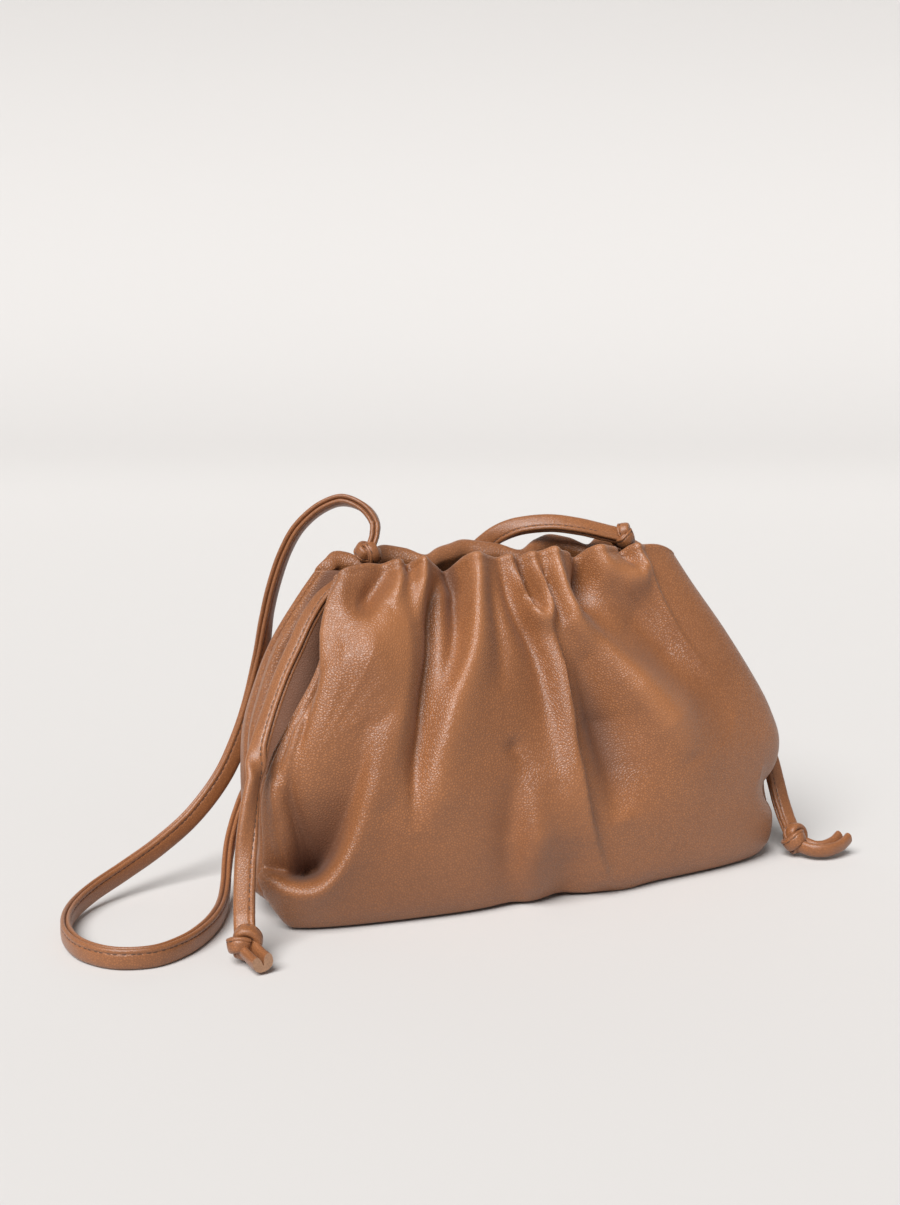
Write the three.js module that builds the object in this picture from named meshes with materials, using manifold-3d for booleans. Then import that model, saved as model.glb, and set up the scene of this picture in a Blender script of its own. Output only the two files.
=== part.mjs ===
// Gathered leather pouch bag with a knotted strap, standing on its base.
// Millimetres, +Z up. +X points to the right seen from the front, +Y to the back.
// The origin is the middle of the underside of the bag body.
import * as THREE from 'three';
import { mergeVertices } from 'three/addons/utils/BufferGeometryUtils.js';
import Module from 'manifold-3d';

// Driving dimensions
const RIM_HEIGHT = 160; // crest of the gathered mouth
const WALL = 2; // leather wall
const RIM_WALL = 4.2; // turned-over rim, two layers and the air between them
const RIM_TURN = 14; // how far down the rim is thickened
const RIM_END_FADE = 40; // the thickening dies away over this distance from a side seam
const CREST_RISE = 1.5; // roundness of the rim's top
const RIM_DROP = 5; // how far the rim drops to the side seams
const RIM_DROP_START = 105; // place across a panel at which the rim starts to drop
const RIM_WAVE = 0.22; // how far the rim follows its pleats up and valleys down, as a share of their height
const RIM_WAVE_DEPTH = 22; // how far down the rim's wave reaches
const BASE_THICKNESS = 2;
const GAP = 0.4; // clearance between neighbouring pieces
const FLAT_HALF = 170; // half width of a panel's flat leather, from its middle to its side seam
const END_ROUND = 0.6; // how square the panels turn into the side seams
const LIFT_START = 139; // place across a panel at which the base leaves the floor
const LIFT_LEFT = 9; // height of the base's left end
const LIFT_RIGHT = 4; // height of its right end
const LIFT_SPAN = 24; // distance across over which the base rises to its ends
const LIFT_CURVE = 1.3; // how slowly it starts to rise
const LIFT_FADE = 34; // height over which the lift dies away in the walls
const STRAP_WIDTH = 9.3;
const STRAP_THICKNESS = 4.5;

// Body outline at each height: place of the side seams of both panels (left and right), distance of
// the seams from the middle plane, how far the panels bulge, and how far the gussets are tucked in.
const SECTIONS = [
  // z, frontLeft, frontRight, backLeft, backRight, frontSeam, backSeam, frontBulge, backBulge, tuck
  [0, -129, 128, -121, 120, 22, 23, 50, 53, 0],
  [8, -133, 133, -124, 124, 24, 25, 55, 58, -3],
  [20, -135, 134, -125, 125, 25, 25, 58, 61, -2],
  [36, -134, 133, -124, 124, 25, 25, 60, 62, 4],
  [60, -134, 136, -124, 124, 25, 25, 59, 61, 11],
  [76, -129, 131, -123, 121, 25, 26, 55, 57, 15],
  [90, -121, 124, -120, 116, 24, 26, 51, 53, 18],
  [118, -104, 108, -111, 105, 20, 24, 39, 42, 20],
  [142, -98, 95, -100, 93, 11, 17, 26, 30, 16],
  [RIM_HEIGHT, -90, 86, -90, 86, 5, 11, 17, 23, 8],
];
const SECTION_COLUMNS = ['z', 'frontLeft', 'frontRight', 'backLeft', 'backRight', 'frontSeam', 'backSeam',
  'frontBulge', 'backBulge', 'tuck'];

// Folds of a panel, each along a path on its flat leather: [place across, height] from the top down,
// how far it stands out at its top and foot (negative is a valley), its width to the left and right of
// the path, and the radius of its crest.
const FRONT_FOLDS = [
  // name, path, top, foot, left, right, crest
  ['left lobe dent', [[-92, 148], [-88, 135], [-95, 118]], -4, -2, 9, 12, 6],
  ['rolled pleat', [[-66, 161], [-63, 142], [-66, 120]], 5, 1.5, 6, 9, 3],
  ['long valley', [[-74, 140], [-63, 93], [-67, 44]], -4, -3, 8, 6, 3],
  ['long ridge', [[-44, 139], [-54, 100], [-59, 74], [-64, 42]], 4, 4, 8, 10, 3],
  ['deep valley', [[-40, 158], [-45, 133], [-50, 112]], -5, -2, 7, 6, 3],
  ['tube pleat', [[-28, 161], [-34, 132], [-40, 104], [-46, 76]], 5, 2, 7, 9, 4],
  ['middle valley', [[-12, 157], [-16, 131], [-19, 98], [-20, 58], [-22, 9]], -5, -2.5, 7, 7, 3],
  ['forked pleat', [[6, 161], [6, 143], [9, 126]], 4, 3, 9, 8, 4],
  ['long crease', [[20, 156], [13, 120], [11, 94], [10, 50], [20, 8]], -5, -2.5, 6, 10, 2],
  ['second tube', [[30, 161], [23, 137], [18, 103]], 4, 1.5, 6, 7, 3],
  ['pocket', [[42, 157], [34, 143]], -5, -3, 6, 6, 3],
  ['broad valley', [[38, 138], [44, 118], [54, 88]], -5, -3, 9, 20, 6],
  ['right lobe', [[60, 160], [62, 146]], 4, 1, 9, 9, 5],
  ['short crease', [[74, 157], [80, 150]], -4, -2, 6, 6, 3],
  ['shoulder ridge', [[90, 160], [92, 145], [88, 115]], 4, 1, 7, 12, 4],
  ['low dent', [[-126, 27], [-106, 40], [-84, 72], [-77, 94]], -13, -4, 16, 11, 6],
  ['low ridge', [[-160, 19], [-112, 20], [-93, 44], [-83, 68]], 3, 3, 10, 10, 5],
  ['low valley', [[-20, 54], [-21, 26], [-22, 6]], -2.5, -3, 6, 8, 3],
  ['right swell', [[66, 75], [70, 50]], 4, 4, 40, 35, 30],
];
const BACK_FOLDS = [
  // name, path, top, foot, left, right, crest
  ['outer left pleat', [[-104, 160], [-106, 130], [-116, 92]], 3, 2, 9, 12, 4],
  ['left valley', [[-84, 158], [-84, 128], [-92, 84]], -4, -3, 8, 10, 4],
  ['left pleat', [[-62, 160], [-62, 130], [-68, 70]], 4, 2, 8, 10, 4],
  ['inner left valley', [[-36, 158], [-38, 126], [-40, 60]], -4.5, -3, 8, 9, 3],
  ['middle pleat', [[-8, 160], [-10, 132], [-14, 88]], 4, 2, 8, 10, 4],
  ['middle valley', [[22, 160], [20, 124], [18, 40]], -6, -2.5, 8, 9, 3],
  ['right pleat', [[48, 160], [48, 128], [51, 78]], 4, 2, 8, 10, 4],
  ['right valley', [[72, 158], [72, 126], [79, 62]], -4.5, -3, 8, 12, 4],
  ['outer right pleat', [[98, 160], [100, 130], [110, 88]], 4, 2, 10, 12, 4],
];
const FOLD_POWER = 1.4; // roundness of a fold's flanks
const FOLD_STEPS = 24;
const SEAM_FADE = 16; // folds die away over this distance from a side seam

// Rows of heights and numbers of columns of the walls
const WALL_ROWS = [2.4, 7, 14, 23, 34, 47, 60, 74, 88, 102, 115, 127, 138, 147, 154, RIM_HEIGHT];
const FRONT_COLUMNS = 54;
const BACK_COLUMNS = 36;
const GUSSET_COLUMNS = 10;
const TUCK_FLANK = 0.65; // share of a gusset's half width taken by each flank of its tuck
const BASE_COLUMNS = 36;
const BASE_CROSS = 3;
const PANEL_REACH = 2; // distance on the flat leather over which a panel's normal is taken
const GUSSET_REACH = 0.02; // the same on a gusset, as a share of its half width

// Slits that the strap passes through, near the top of the gussets
const SLIT = { y: 1.6, z: 149.8, depth: 12, width: 10.6, height: 6, tilt: 0.62 };

// Knots: centre, radii, and the way the strap runs through them
const KNOTS = [
  // name, centre, radii, axis
  ['left_stopper_knot', [-70, 3, 160.5], [8.2, 8.2, 7.8], [0.5, 0, 0.85]],
  ['right_stopper_knot', [66.5, 3, 160.5], [8.2, 8.2, 7.8], [1, 0, 0.3]],
  ['left_end_knot', [-155, -64.5, 8.8], [9, 8.6, 8.2], [-0.3, -0.8, -0.5]],
  ['right_end_knot', [141.5, -42.5, 8.6], [9, 8.6, 8.2], [0.4, -0.8, -0.4]],
];
const KNOT_AROUND = 16;
const KNOT_ALONG = 10;
const KNOT_WRAPS = 2.5;
const KNOT_RELIEF = 0.06;

// Strap routes: place of the strap's middle, and the way its grooved edge looks.
const SHOULDER_STRAP = [
  // x, y, z, groove x, y, z
  [-65.8, 5.6, 168.2, -1, -2, 0],
  [-64.3, 8, 172.5, -1, -2, 0],
  [-65.2, 10.5, 177, -1, -2, 0],
  [-68.5, 14, 181, -1, -2, 0.4],
  [-75.5, 20.5, 183.5, -1, -2.2, 1],
  [-83.5, 26.5, 180, -1.5, -2, 0.8],
  [-92.5, 32.5, 170.7, -2, -2, 0.3],
  [-98, 36.5, 159.5, -2, -2, 0],
  [-102.5, 40, 144.5, -2, -2, 0],
  [-105.5, 43, 129, -2, -2, 0],
  [-107.5, 47, 108, -2, -1, 0],
  [-112, 49.5, 84.5, -1, 0, 0],
  [-118.5, 51, 65.5, -1, 0, 1],
  [-127.5, 51, 48.5, -1, 0, 2],
  [-143, 49.5, 31.5, 0, 0, 1],
  [-160.5, 46, 20.2, 0, 0, 1],
  [-178.5, 40, 12.7, 0, 0, 1],
  [-196, 30, 8, 0, 0, 1],
  [-207.5, 18, 5.8, 0, 0, 1],
  [-215, 3, 5, 0, 0, 1],
  [-218.5, -15, 4.9, 0, 0, 1],
  [-216, -34, 4.9, 0, 0, 1],
  [-206, -48, 4.9, 0, 0, 1],
  [-191, -52.5, 4.9, 0, 0, 1],
  [-176, -46, 4.9, 0, 0, 1],
  [-163, -33.5, 4.9, 0, 0, 1],
  [-153, -19, 4.9, 0, 0, 1],
  [-145.5, -4, 5.2, 0, 0, 1],
  [-140, 9, 8, 0, 0, 1],
  [-135, 22, 13.5, 0, 0, 1],
  [-130, 32.5, 20.5, 0, 0, 1],
  [-122, 45, 29, 0, 0, 1],
  [-113, 54.5, 38.5, 0, 0, 1],
  [-95, 63, 54, 0, 0, 1],
  [-67, 66, 77, -1, 0, 1],
  [-39, 60.5, 102, -1, 1, 0],
  [-17, 50, 127, 0, 1, -1],
  [-0.5, 39, 150, 0, 0, -1],
  [8, 30.5, 160.5, 0, 0, -1],
  [13, 26, 164.2, 0, -1, -2],
  [19, 21.5, 166.6, 0, -1, -1],
  [31.5, 14.5, 168, 0, -1, -1],
  [44.5, 9, 166.2, 0, -1, -1],
  [57, 5.5, 163, 0, -1, -1],
];
const LEFT_TAIL = [
  // x, y, z, groove x, y, z
  [-77.4, 2, 153.2, 0, -1, 0],
  [-81.8, 1.6, 149.8, 0, -1, 0],
  [-86.4, 1.6, 146.8, 0.1, -1, 0],
  [-93.8, 0.2, 142, 0.3, -0.95, 0],
  [-103, -5.4, 133.6, 0.4, -0.9, 0],
  [-111, -10.8, 123, 0.4, -0.9, 0],
  [-119.5, -16.6, 111.5, 0.35, -0.93, 0],
  [-128.5, -24.4, 97.5, 0.3, -0.95, 0],
  [-136, -31, 84, 0.5, -0.86, 0],
  [-141, -37, 71, 0.63, 0.76, 0],
  [-145.5, -43, 55.5, 1, 0.4, 0],
  [-149, -49, 40, 1, -0.4, 0],
  [-151.5, -54, 27.5, 2, -1, 0],
  [-152.8, -57.2, 19, 2, -1, 0],
];
const RIGHT_TAIL = [
  // x, y, z, groove x, y, z
  [73.8, 2, 153.4, 0, -1, 0],
  [77.8, 1.6, 149.8, 0, -1, 0],
  [82.4, 1.6, 146.6, 0, -1, 0],
  [90, 0.6, 140.6, 0, -1, 0],
  [98.5, -1, 129.5, 0, -1, 0],
  [108, -2.5, 113.5, 0, -1, 0],
  [119, -4.5, 95.5, 0, -1, 0],
  [129, -8, 76, -0.5, -0.8, 0],
  [137.5, -13, 58.5, -1, -0.3, 0],
  [142.4, -17.5, 45, -1, 0, 0],
  [143.4, -22, 34, -1, 0, 0],
  [143.4, -27, 24.5, -1, 0, 0],
  [143, -32, 18, -1, 0, 0],
];
// Cut ends that stick out of the end knots
const LEFT_CUT_END = [
  // x, y, z, groove x, y, z
  [-154.5, -67, 7.2, 1, 0, 1],
  [-153.2, -74.5, 5.4, 1, 0, 1],
  [-152.5, -80.5, 5.2, 1, 0, 1],
];
const RIGHT_CUT_END = [
  // x, y, z, groove x, y, z
  [143, -45, 6.4, 0, 0, 1],
  [146.5, -51, 5.3, 0, 0, 1],
  [152, -53.5, 5.2, 0, 0, 1],
  [160, -52.5, 6.2, 0, 0, 1],
  [166, -50, 8.2, 0, 0, 1],
];
const STEPS_PER_STRAP = 80;
const TAIL_STEPS = 22;
const CUT_END_STEPS = 5;

const TAN_LEATHER = { color: 0x9a6644, roughness: 0.5, metalness: 0 };
const STRAP_LEATHER = { color: 0x94633f, roughness: 0.46, metalness: 0 };

const wasm = await Module();
wasm.setup();

// A column of the section table at height z, on a smooth curve through its rows.
function section(column, z) {
  const c = SECTION_COLUMNS.indexOf(column);
  const last = SECTIONS.length - 1;
  const h = THREE.MathUtils.clamp(z, SECTIONS[0][0], SECTIONS[last][0]);
  let i = 0;
  while (i < last - 1 && SECTIONS[i + 1][0] <= h) i += 1;
  const slope = (k) => {
    const a = SECTIONS[Math.max(k - 1, 0)];
    const b = SECTIONS[Math.min(k + 1, last)];
    return (b[c] - a[c]) / (b[0] - a[0]);
  };
  const span = SECTIONS[i + 1][0] - SECTIONS[i][0];
  const t = (h - SECTIONS[i][0]) / span;
  const t2 = t * t;
  const t3 = t2 * t;
  return (2 * t3 - 3 * t2 + 1) * SECTIONS[i][c] + (t3 - 2 * t2 + t) * span * slope(i)
    + (3 * t2 - 2 * t3) * SECTIONS[i + 1][c] + (t3 - t2) * span * slope(i + 1);
}

// How far the body is lifted off the floor at a place across the panels, dying away up the wall.
function lift(across, z) {
  const reach = Math.max(Math.abs(across) - LIFT_START, 0) / LIFT_SPAN;
  const fade = Math.max(1 - Math.max(z - WALL_ROWS[0], 0) / LIFT_FADE, 0);
  const end = across < 0 ? LIFT_LEFT : LIFT_RIGHT;
  return end * Math.min(reach, 1) ** LIFT_CURVE * fade * fade;
}

// How far a wall drops at height z, given the share of the whole drop at its rim.
function rimDrop(share, z) {
  return RIM_DROP * share * (z / RIM_HEIGHT) ** 3;
}

// A point of the front (side -1) or back (side 1) panel before it is folded.
function plainPanel(side, across, z) {
  const name = side < 0 ? 'front' : 'back';
  const left = section(`${name}Left`, z);
  const right = section(`${name}Right`, z);
  const turn = (Math.PI / 2) * (across / FLAT_HALF);
  const x = (left + right) / 2 + ((right - left) / 2) * Math.sin(turn);
  const seam = section(`${name}Seam`, z);
  const bulge = section(`${name}Bulge`, z);
  const y = side * (seam + (bulge - seam) * Math.max(Math.cos(turn), 0) ** END_ROUND);
  const drop = rimDrop(THREE.MathUtils.smoothstep(Math.abs(across), RIM_DROP_START, FLAT_HALF), z);
  return new THREE.Vector3(x, y, z + lift(across, z) - drop);
}

// A point of a gusset on the left (hand -1) or right (hand 1); t runs from the front seam to the back seam.
function gussetPoint(hand, t, z) {
  const word = hand < 0 ? 'Left' : 'Right';
  const blend = (t + 1) / 2;
  const front = -section('frontSeam', z) + GAP;
  const back = section('backSeam', z) - GAP;
  const seam = THREE.MathUtils.lerp(section(`front${word}`, z), section(`back${word}`, z),
    THREE.MathUtils.smoothstep(blend, 0, 1));
  const tuck = section('tuck', z) * THREE.MathUtils.smoothstep(1 - Math.abs(t), 0, TUCK_FLANK);
  const y = THREE.MathUtils.lerp(front, back, blend);
  return new THREE.Vector3(seam - hand * tuck, y, z + lift(hand * FLAT_HALF, z) - rimDrop(1, z));
}

// Outward normal of a surface given as a function of two places.
function outward(surface, a, b, stepA, stepB, side) {
  const alongA = surface(a + stepA, b).sub(surface(a - stepA, b));
  const alongB = surface(a, b + stepB).sub(surface(a, b - stepB));
  return alongA.cross(alongB).normalize().multiplyScalar(side);
}

// Folds made ready: their paths as short polylines on the flat leather.
function preparedFolds(table) {
  return table.map(([, path, top, foot, left, right, crest]) => {
    const curve = new THREE.SplineCurve(path.map(([across, z]) => new THREE.Vector2(across, z)));
    return { line: curve.getPoints(FOLD_STEPS), top, foot, left, right, crest };
  });
}

// How far one fold moves the leather out at a place on the flat panel.
function foldHeight(fold, across, z) {
  let best = { distance: Infinity, along: 0, offset: 0 };
  fold.line.forEach((point, i) => {
    const distance = Math.hypot(point.x - across, point.y - z);
    if (distance < best.distance) {
      best = { distance, along: i / FOLD_STEPS, offset: across - point.x };
    }
  });
  const width = best.offset < 0 ? fold.left : fold.right;
  const reach = Math.hypot(best.distance, fold.crest) - fold.crest;
  return THREE.MathUtils.lerp(fold.top, fold.foot, best.along) * Math.exp(-((reach / width) ** FOLD_POWER));
}

// A finished point of a panel: folded, and moved inwards by a depth below its outer face.
function panelPoint(side, folds, across, z, depth) {
  const inside = FLAT_HALF - PANEL_REACH;
  const place = THREE.MathUtils.clamp(across, -inside, inside);
  const normal = outward((a, b) => plainPanel(side, a, b), place, z, PANEL_REACH, PANEL_REACH, -side);
  normal.multiplyScalar(normal.y * side < 0 ? -1 : 1);
  if (Math.abs(across) === FLAT_HALF) normal.setY(0).normalize();
  const seamFade = THREE.MathUtils.smoothstep(FLAT_HALF - Math.abs(across), 0, SEAM_FADE);
  const height = folds.reduce((sum, fold) => sum + foldHeight(fold, across, z), 0) * seamFade;
  const wave = RIM_WAVE * height * THREE.MathUtils.smoothstep(z, RIM_HEIGHT - RIM_WAVE_DEPTH, RIM_HEIGHT);
  const point = plainPanel(side, across, z).addScaledVector(normal, height - depth);
  return point.setZ(point.z + wave);
}

// A closed solid through rings of points, all with the same number of points. The caps join the
// points of the first and last ring in pairs from both ends.
function solidThroughRings(rings) {
  const size = rings[0].length;
  const positions = rings.flatMap((ring) => ring.flatMap((point) => [point.x, point.y, point.z]));
  const index = [];
  for (let r = 0; r < rings.length - 1; r += 1) {
    for (let k = 0; k < size; k += 1) {
      const a = r * size + k;
      const b = r * size + ((k + 1) % size);
      index.push(a, b, b + size, a, b + size, a + size);
    }
  }
  const cap = (start, flip) => {
    for (let k = 0; k < Math.floor((size - 1) / 2); k += 1) {
      const a = start + k;
      const b = start + k + 1;
      const c = start + size - 1 - k;
      const d = start + size - 2 - k;
      const triangles = b === d ? [[a, c, b]] : [[a, c, d], [a, d, b]];
      triangles.forEach(([p, q, s]) => index.push(...(flip ? [p, s, q] : [p, q, s])));
    }
  };
  cap(0, false);
  cap((rings.length - 1) * size, true);
  const geometry = new THREE.BufferGeometry();
  geometry.setAttribute('position', new THREE.Float32BufferAttribute(positions, 3));
  geometry.setIndex(index);
  return facingOut(geometry);
}

// The same solid with its faces pointing out, judged by the sign of its volume.
function facingOut(geometry) {
  const p = geometry.getAttribute('position');
  const index = geometry.getIndex().array;
  const [a, b, c] = [new THREE.Vector3(), new THREE.Vector3(), new THREE.Vector3()];
  let volume = 0;
  for (let i = 0; i < index.length; i += 3) {
    a.fromBufferAttribute(p, index[i]);
    b.fromBufferAttribute(p, index[i + 1]);
    c.fromBufferAttribute(p, index[i + 2]);
    volume += a.dot(b.cross(c));
  }
  if (volume < 0) {
    for (let i = 0; i < index.length; i += 3) {
      [index[i + 1], index[i + 2]] = [index[i + 2], index[i + 1]];
    }
  }
  return geometry;
}

// Depth of a panel's wall: thicker where the rim is turned over, apart from its ends at the side seams.
function panelDepth(across, z) {
  const rim = THREE.MathUtils.smoothstep(z, RIM_HEIGHT - RIM_TURN, RIM_HEIGHT);
  const middle = THREE.MathUtils.smoothstep(FLAT_HALF - Math.abs(across), 0, RIM_END_FADE);
  return THREE.MathUtils.lerp(WALL, RIM_WALL, rim * middle);
}

// Ring of a wall: up its outer face, over the rounded rim and down its inner face.
function wallRing(pointAt, depthAt) {
  const outer = WALL_ROWS.map((z) => pointAt(z, 0));
  const inner = WALL_ROWS.map((z) => pointAt(z, depthAt(z)));
  const top = WALL_ROWS.length - 1;
  const crest = outer[top].clone().add(inner[top]).divideScalar(2);
  crest.z += CREST_RISE;
  return [...outer, crest, ...inner.reverse()];
}

function panelGeometry(side, foldTable, columns) {
  const folds = preparedFolds(foldTable);
  const rings = [];
  for (let i = 0; i <= columns; i += 1) {
    const across = FLAT_HALF * ((2 * i) / columns - 1);
    const pointAt = (z, depth) => panelPoint(side, folds, across, z, depth);
    rings.push(wallRing(pointAt, (z) => panelDepth(across, z)));
  }
  return solidThroughRings(rings);
}

function gussetGeometry(hand) {
  const surface = (t, z) => gussetPoint(hand, t, z);
  const inside = 1 - GUSSET_REACH;
  const rings = [];
  for (let i = 0; i <= GUSSET_COLUMNS; i += 1) {
    const t = (2 * i) / GUSSET_COLUMNS - 1;
    const pointAt = (z, depth) => {
      const place = THREE.MathUtils.clamp(t, -inside, inside);
      const normal = outward(surface, place, z, GUSSET_REACH, PANEL_REACH, 1);
      normal.multiplyScalar(normal.x * hand < 0 ? -1 : 1);
      if (Math.abs(t) === 1) normal.setY(0).normalize();
      return surface(t, z).addScaledVector(normal, -depth);
    };
    rings.push(wallRing(pointAt, () => WALL));
  }
  return solidThroughRings(rings);
}

function baseGeometry() {
  const rings = [];
  for (let i = 0; i <= BASE_COLUMNS; i += 1) {
    const across = FLAT_HALF * ((2 * i) / BASE_COLUMNS - 1);
    const front = plainPanel(-1, across, 0);
    const back = plainPanel(1, across, 0);
    const crossing = [];
    for (let k = 0; k <= BASE_CROSS; k += 1) {
      const point = front.clone().lerp(back, k / BASE_CROSS);
      point.z = lift(across, 0);
      crossing.push(point);
    }
    const raised = crossing.map((point) => point.clone().setZ(point.z + BASE_THICKNESS));
    rings.push([...crossing, ...raised.reverse()]);
  }
  return solidThroughRings(rings);
}

// A strap route: a smooth curve that also says which way the grooved edge looks along it.
class StrapRoute extends THREE.CatmullRomCurve3 {
  constructor(rows) {
    super(rows.map(([x, y, z]) => new THREE.Vector3(x, y, z)), false, 'centripetal');
    this.grooves = rows.map(([, , , x, y, z]) => new THREE.Vector3(x, y, z).normalize());
  }

  computeFrenetFrames(steps) {
    const frames = { tangents: [], normals: [], binormals: [] };
    for (let i = 0; i <= steps; i += 1) {
      const tangent = this.getTangentAt(i / steps);
      const place = this.getUtoTmapping(i / steps) * (this.grooves.length - 1);
      const row = Math.min(Math.floor(place), this.grooves.length - 2);
      const normal = this.grooves[row].clone().lerp(this.grooves[row + 1], place - row);
      normal.addScaledVector(tangent, -normal.dot(tangent)).normalize();
      frames.tangents.push(tangent);
      frames.normals.push(normal);
      frames.binormals.push(tangent.clone().cross(normal));
    }
    return frames;
  }
}

// The strap's section: a flat bar with rounded corners.
function strapSection() {
  const w = STRAP_WIDTH / 2;
  const t = STRAP_THICKNESS / 2;
  const c = t / 2;
  const corners = [[-w, -c], [-w + c, -t], [w - c, -t], [w, -c], [w, c], [w - c, t], [-w + c, t], [-w, c]];
  return new THREE.Shape(corners.map(([x, y]) => new THREE.Vector2(x, y)));
}

function merged(geometry) {
  geometry.deleteAttribute('normal');
  geometry.deleteAttribute('uv');
  return facingOut(mergeVertices(geometry));
}

function strapGeometry(rows, steps) {
  const extrudePath = new StrapRoute(rows);
  return merged(new THREE.ExtrudeGeometry(strapSection(), { steps, extrudePath, bevelEnabled: false }));
}

function toSolid(geometry) {
  const mesh = new wasm.Mesh({
    numProp: 3,
    vertProperties: new Float32Array(geometry.getAttribute('position').array),
    triVerts: new Uint32Array(geometry.getIndex().array),
  });
  return new wasm.Manifold(mesh);
}

function fromSolid(solid) {
  const mesh = solid.getMesh();
  const geometry = new THREE.BufferGeometry();
  geometry.setAttribute('position', new THREE.Float32BufferAttribute(mesh.vertProperties, 3));
  geometry.setIndex([...mesh.triVerts]);
  return geometry;
}

// A gusset with the slit for the strap cut through it.
function slitGusset(hand) {
  const cutter = new THREE.BoxGeometry(SLIT.depth, SLIT.width, SLIT.height);
  cutter.rotateY(hand * SLIT.tilt);
  const level = SLIT.z + rimDrop(1, SLIT.z);
  const side = section(hand < 0 ? 'frontLeft' : 'frontRight', level);
  const x = side - hand * section('tuck', level);
  cutter.translate(x, SLIT.y, SLIT.z);
  return fromSolid(toSolid(gussetGeometry(hand)).subtract(toSolid(merged(cutter))));
}

// A knot: a rounded lump with the strap's wraps standing out round it.
function knotGeometry(centre, radii, axis) {
  const geometry = new THREE.SphereGeometry(1, KNOT_AROUND, KNOT_ALONG);
  const p = geometry.getAttribute('position');
  const turn = new THREE.Quaternion();
  turn.setFromUnitVectors(new THREE.Vector3(0, 1, 0), new THREE.Vector3(...axis).normalize());
  const point = new THREE.Vector3();
  for (let i = 0; i < p.count; i += 1) {
    point.fromBufferAttribute(p, i);
    const around = Math.atan2(point.z, point.x);
    const wrap = Math.cos(KNOT_WRAPS * Math.PI * point.y + around);
    const flank = 1 - point.y * point.y;
    point.multiplyScalar(1 - KNOT_RELIEF * flank * (1 - wrap));
    point.applyQuaternion(turn).multiply(new THREE.Vector3(...radii));
    p.setXYZ(i, point.x, point.y, point.z);
  }
  geometry.translate(...centre);
  return merged(geometry);
}

function knotWithEnd(centre, radii, axis, cutEnd) {
  const knot = toSolid(knotGeometry(centre, radii, axis));
  return fromSolid(knot.add(toSolid(strapGeometry(cutEnd, CUT_END_STEPS))));
}

const bag = new THREE.Group();

function addPiece(name, geometry, finish) {
  geometry.computeVertexNormals();
  const mesh = new THREE.Mesh(geometry, new THREE.MeshStandardMaterial(finish));
  mesh.name = name;
  bag.add(mesh);
}

addPiece('front_panel', panelGeometry(-1, FRONT_FOLDS, FRONT_COLUMNS), TAN_LEATHER);
addPiece('back_panel', panelGeometry(1, BACK_FOLDS, BACK_COLUMNS), TAN_LEATHER);
addPiece('left_gusset', slitGusset(-1), TAN_LEATHER);
addPiece('right_gusset', slitGusset(1), TAN_LEATHER);
addPiece('base_panel', baseGeometry(), TAN_LEATHER);
addPiece('shoulder_strap', strapGeometry(SHOULDER_STRAP, STEPS_PER_STRAP), STRAP_LEATHER);
addPiece('left_tail', strapGeometry(LEFT_TAIL, TAIL_STEPS), STRAP_LEATHER);
addPiece('right_tail', strapGeometry(RIGHT_TAIL, TAIL_STEPS), STRAP_LEATHER);

const CUT_ENDS = { left_end_knot: LEFT_CUT_END, right_end_knot: RIGHT_CUT_END };
KNOTS.forEach(([name, centre, radii, axis]) => {
  const cutEnd = CUT_ENDS[name];
  const geometry = cutEnd ? knotWithEnd(centre, radii, axis, cutEnd) : knotGeometry(centre, radii, axis);
  addPiece(name, geometry, STRAP_LEATHER);
});

export default bag;
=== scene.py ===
"""Looks of a gathered leather pouch bag with a knotted strap, laid out as a Blender add-on."""
import math
from collections import namedtuple
from functools import partial

import bmesh
import bpy
import numpy as np
from bpy.props import FloatProperty, FloatVectorProperty, PointerProperty
from mathutils import Matrix, Vector


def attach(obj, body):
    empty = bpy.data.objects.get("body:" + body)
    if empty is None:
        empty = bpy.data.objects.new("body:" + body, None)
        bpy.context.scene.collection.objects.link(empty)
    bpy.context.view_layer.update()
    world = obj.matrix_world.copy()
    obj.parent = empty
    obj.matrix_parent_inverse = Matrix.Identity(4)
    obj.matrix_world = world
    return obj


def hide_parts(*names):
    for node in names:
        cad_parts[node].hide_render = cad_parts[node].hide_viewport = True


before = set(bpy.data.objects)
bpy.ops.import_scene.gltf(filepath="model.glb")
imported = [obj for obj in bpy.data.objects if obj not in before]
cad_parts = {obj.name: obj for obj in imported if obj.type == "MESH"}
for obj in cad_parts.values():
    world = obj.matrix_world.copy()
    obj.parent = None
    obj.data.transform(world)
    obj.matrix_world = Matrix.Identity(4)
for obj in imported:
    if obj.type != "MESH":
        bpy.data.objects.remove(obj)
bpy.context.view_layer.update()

bl_info = {
    "name": "Gathered Pouch Bag",
    "version": (1, 0, 0),
    "blender": (4, 5, 0),
    "location": "View3D > Sidebar > Pouch",
    "description": "Makes the leather panels, strap, knots and stage of a gathered pouch bag",
    "category": "Object",
}

BODY = "root"

# The body's tables are in millimetres, and MM turns them into metres.
MM = 0.001
# Height of the rim, half the width of a panel's flat leather, and how full the panel is towards its ends
RIM_HEIGHT = 160
FLAT_HALF = 170
END_ROUND = 0.6
# Lift of the ends off the floor: where it starts, how high it gets, and how it grows and fades
LIFT_START = 139
LIFT_LEFT = 9
LIFT_RIGHT = 4
LIFT_SPAN = 24
LIFT_CURVE = 1.3
LIFT_FADE = 34
# Gap between a gusset and the panels at its seams, and the share of the gusset that slopes into its tuck
SEAM_GAP = 0.4
TUCK_FLANK = 0.65
SIDE_NAMES = {-1: "front", 1: "back"}
HAND_NAMES = {-1: "left", 1: "right"}

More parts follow.
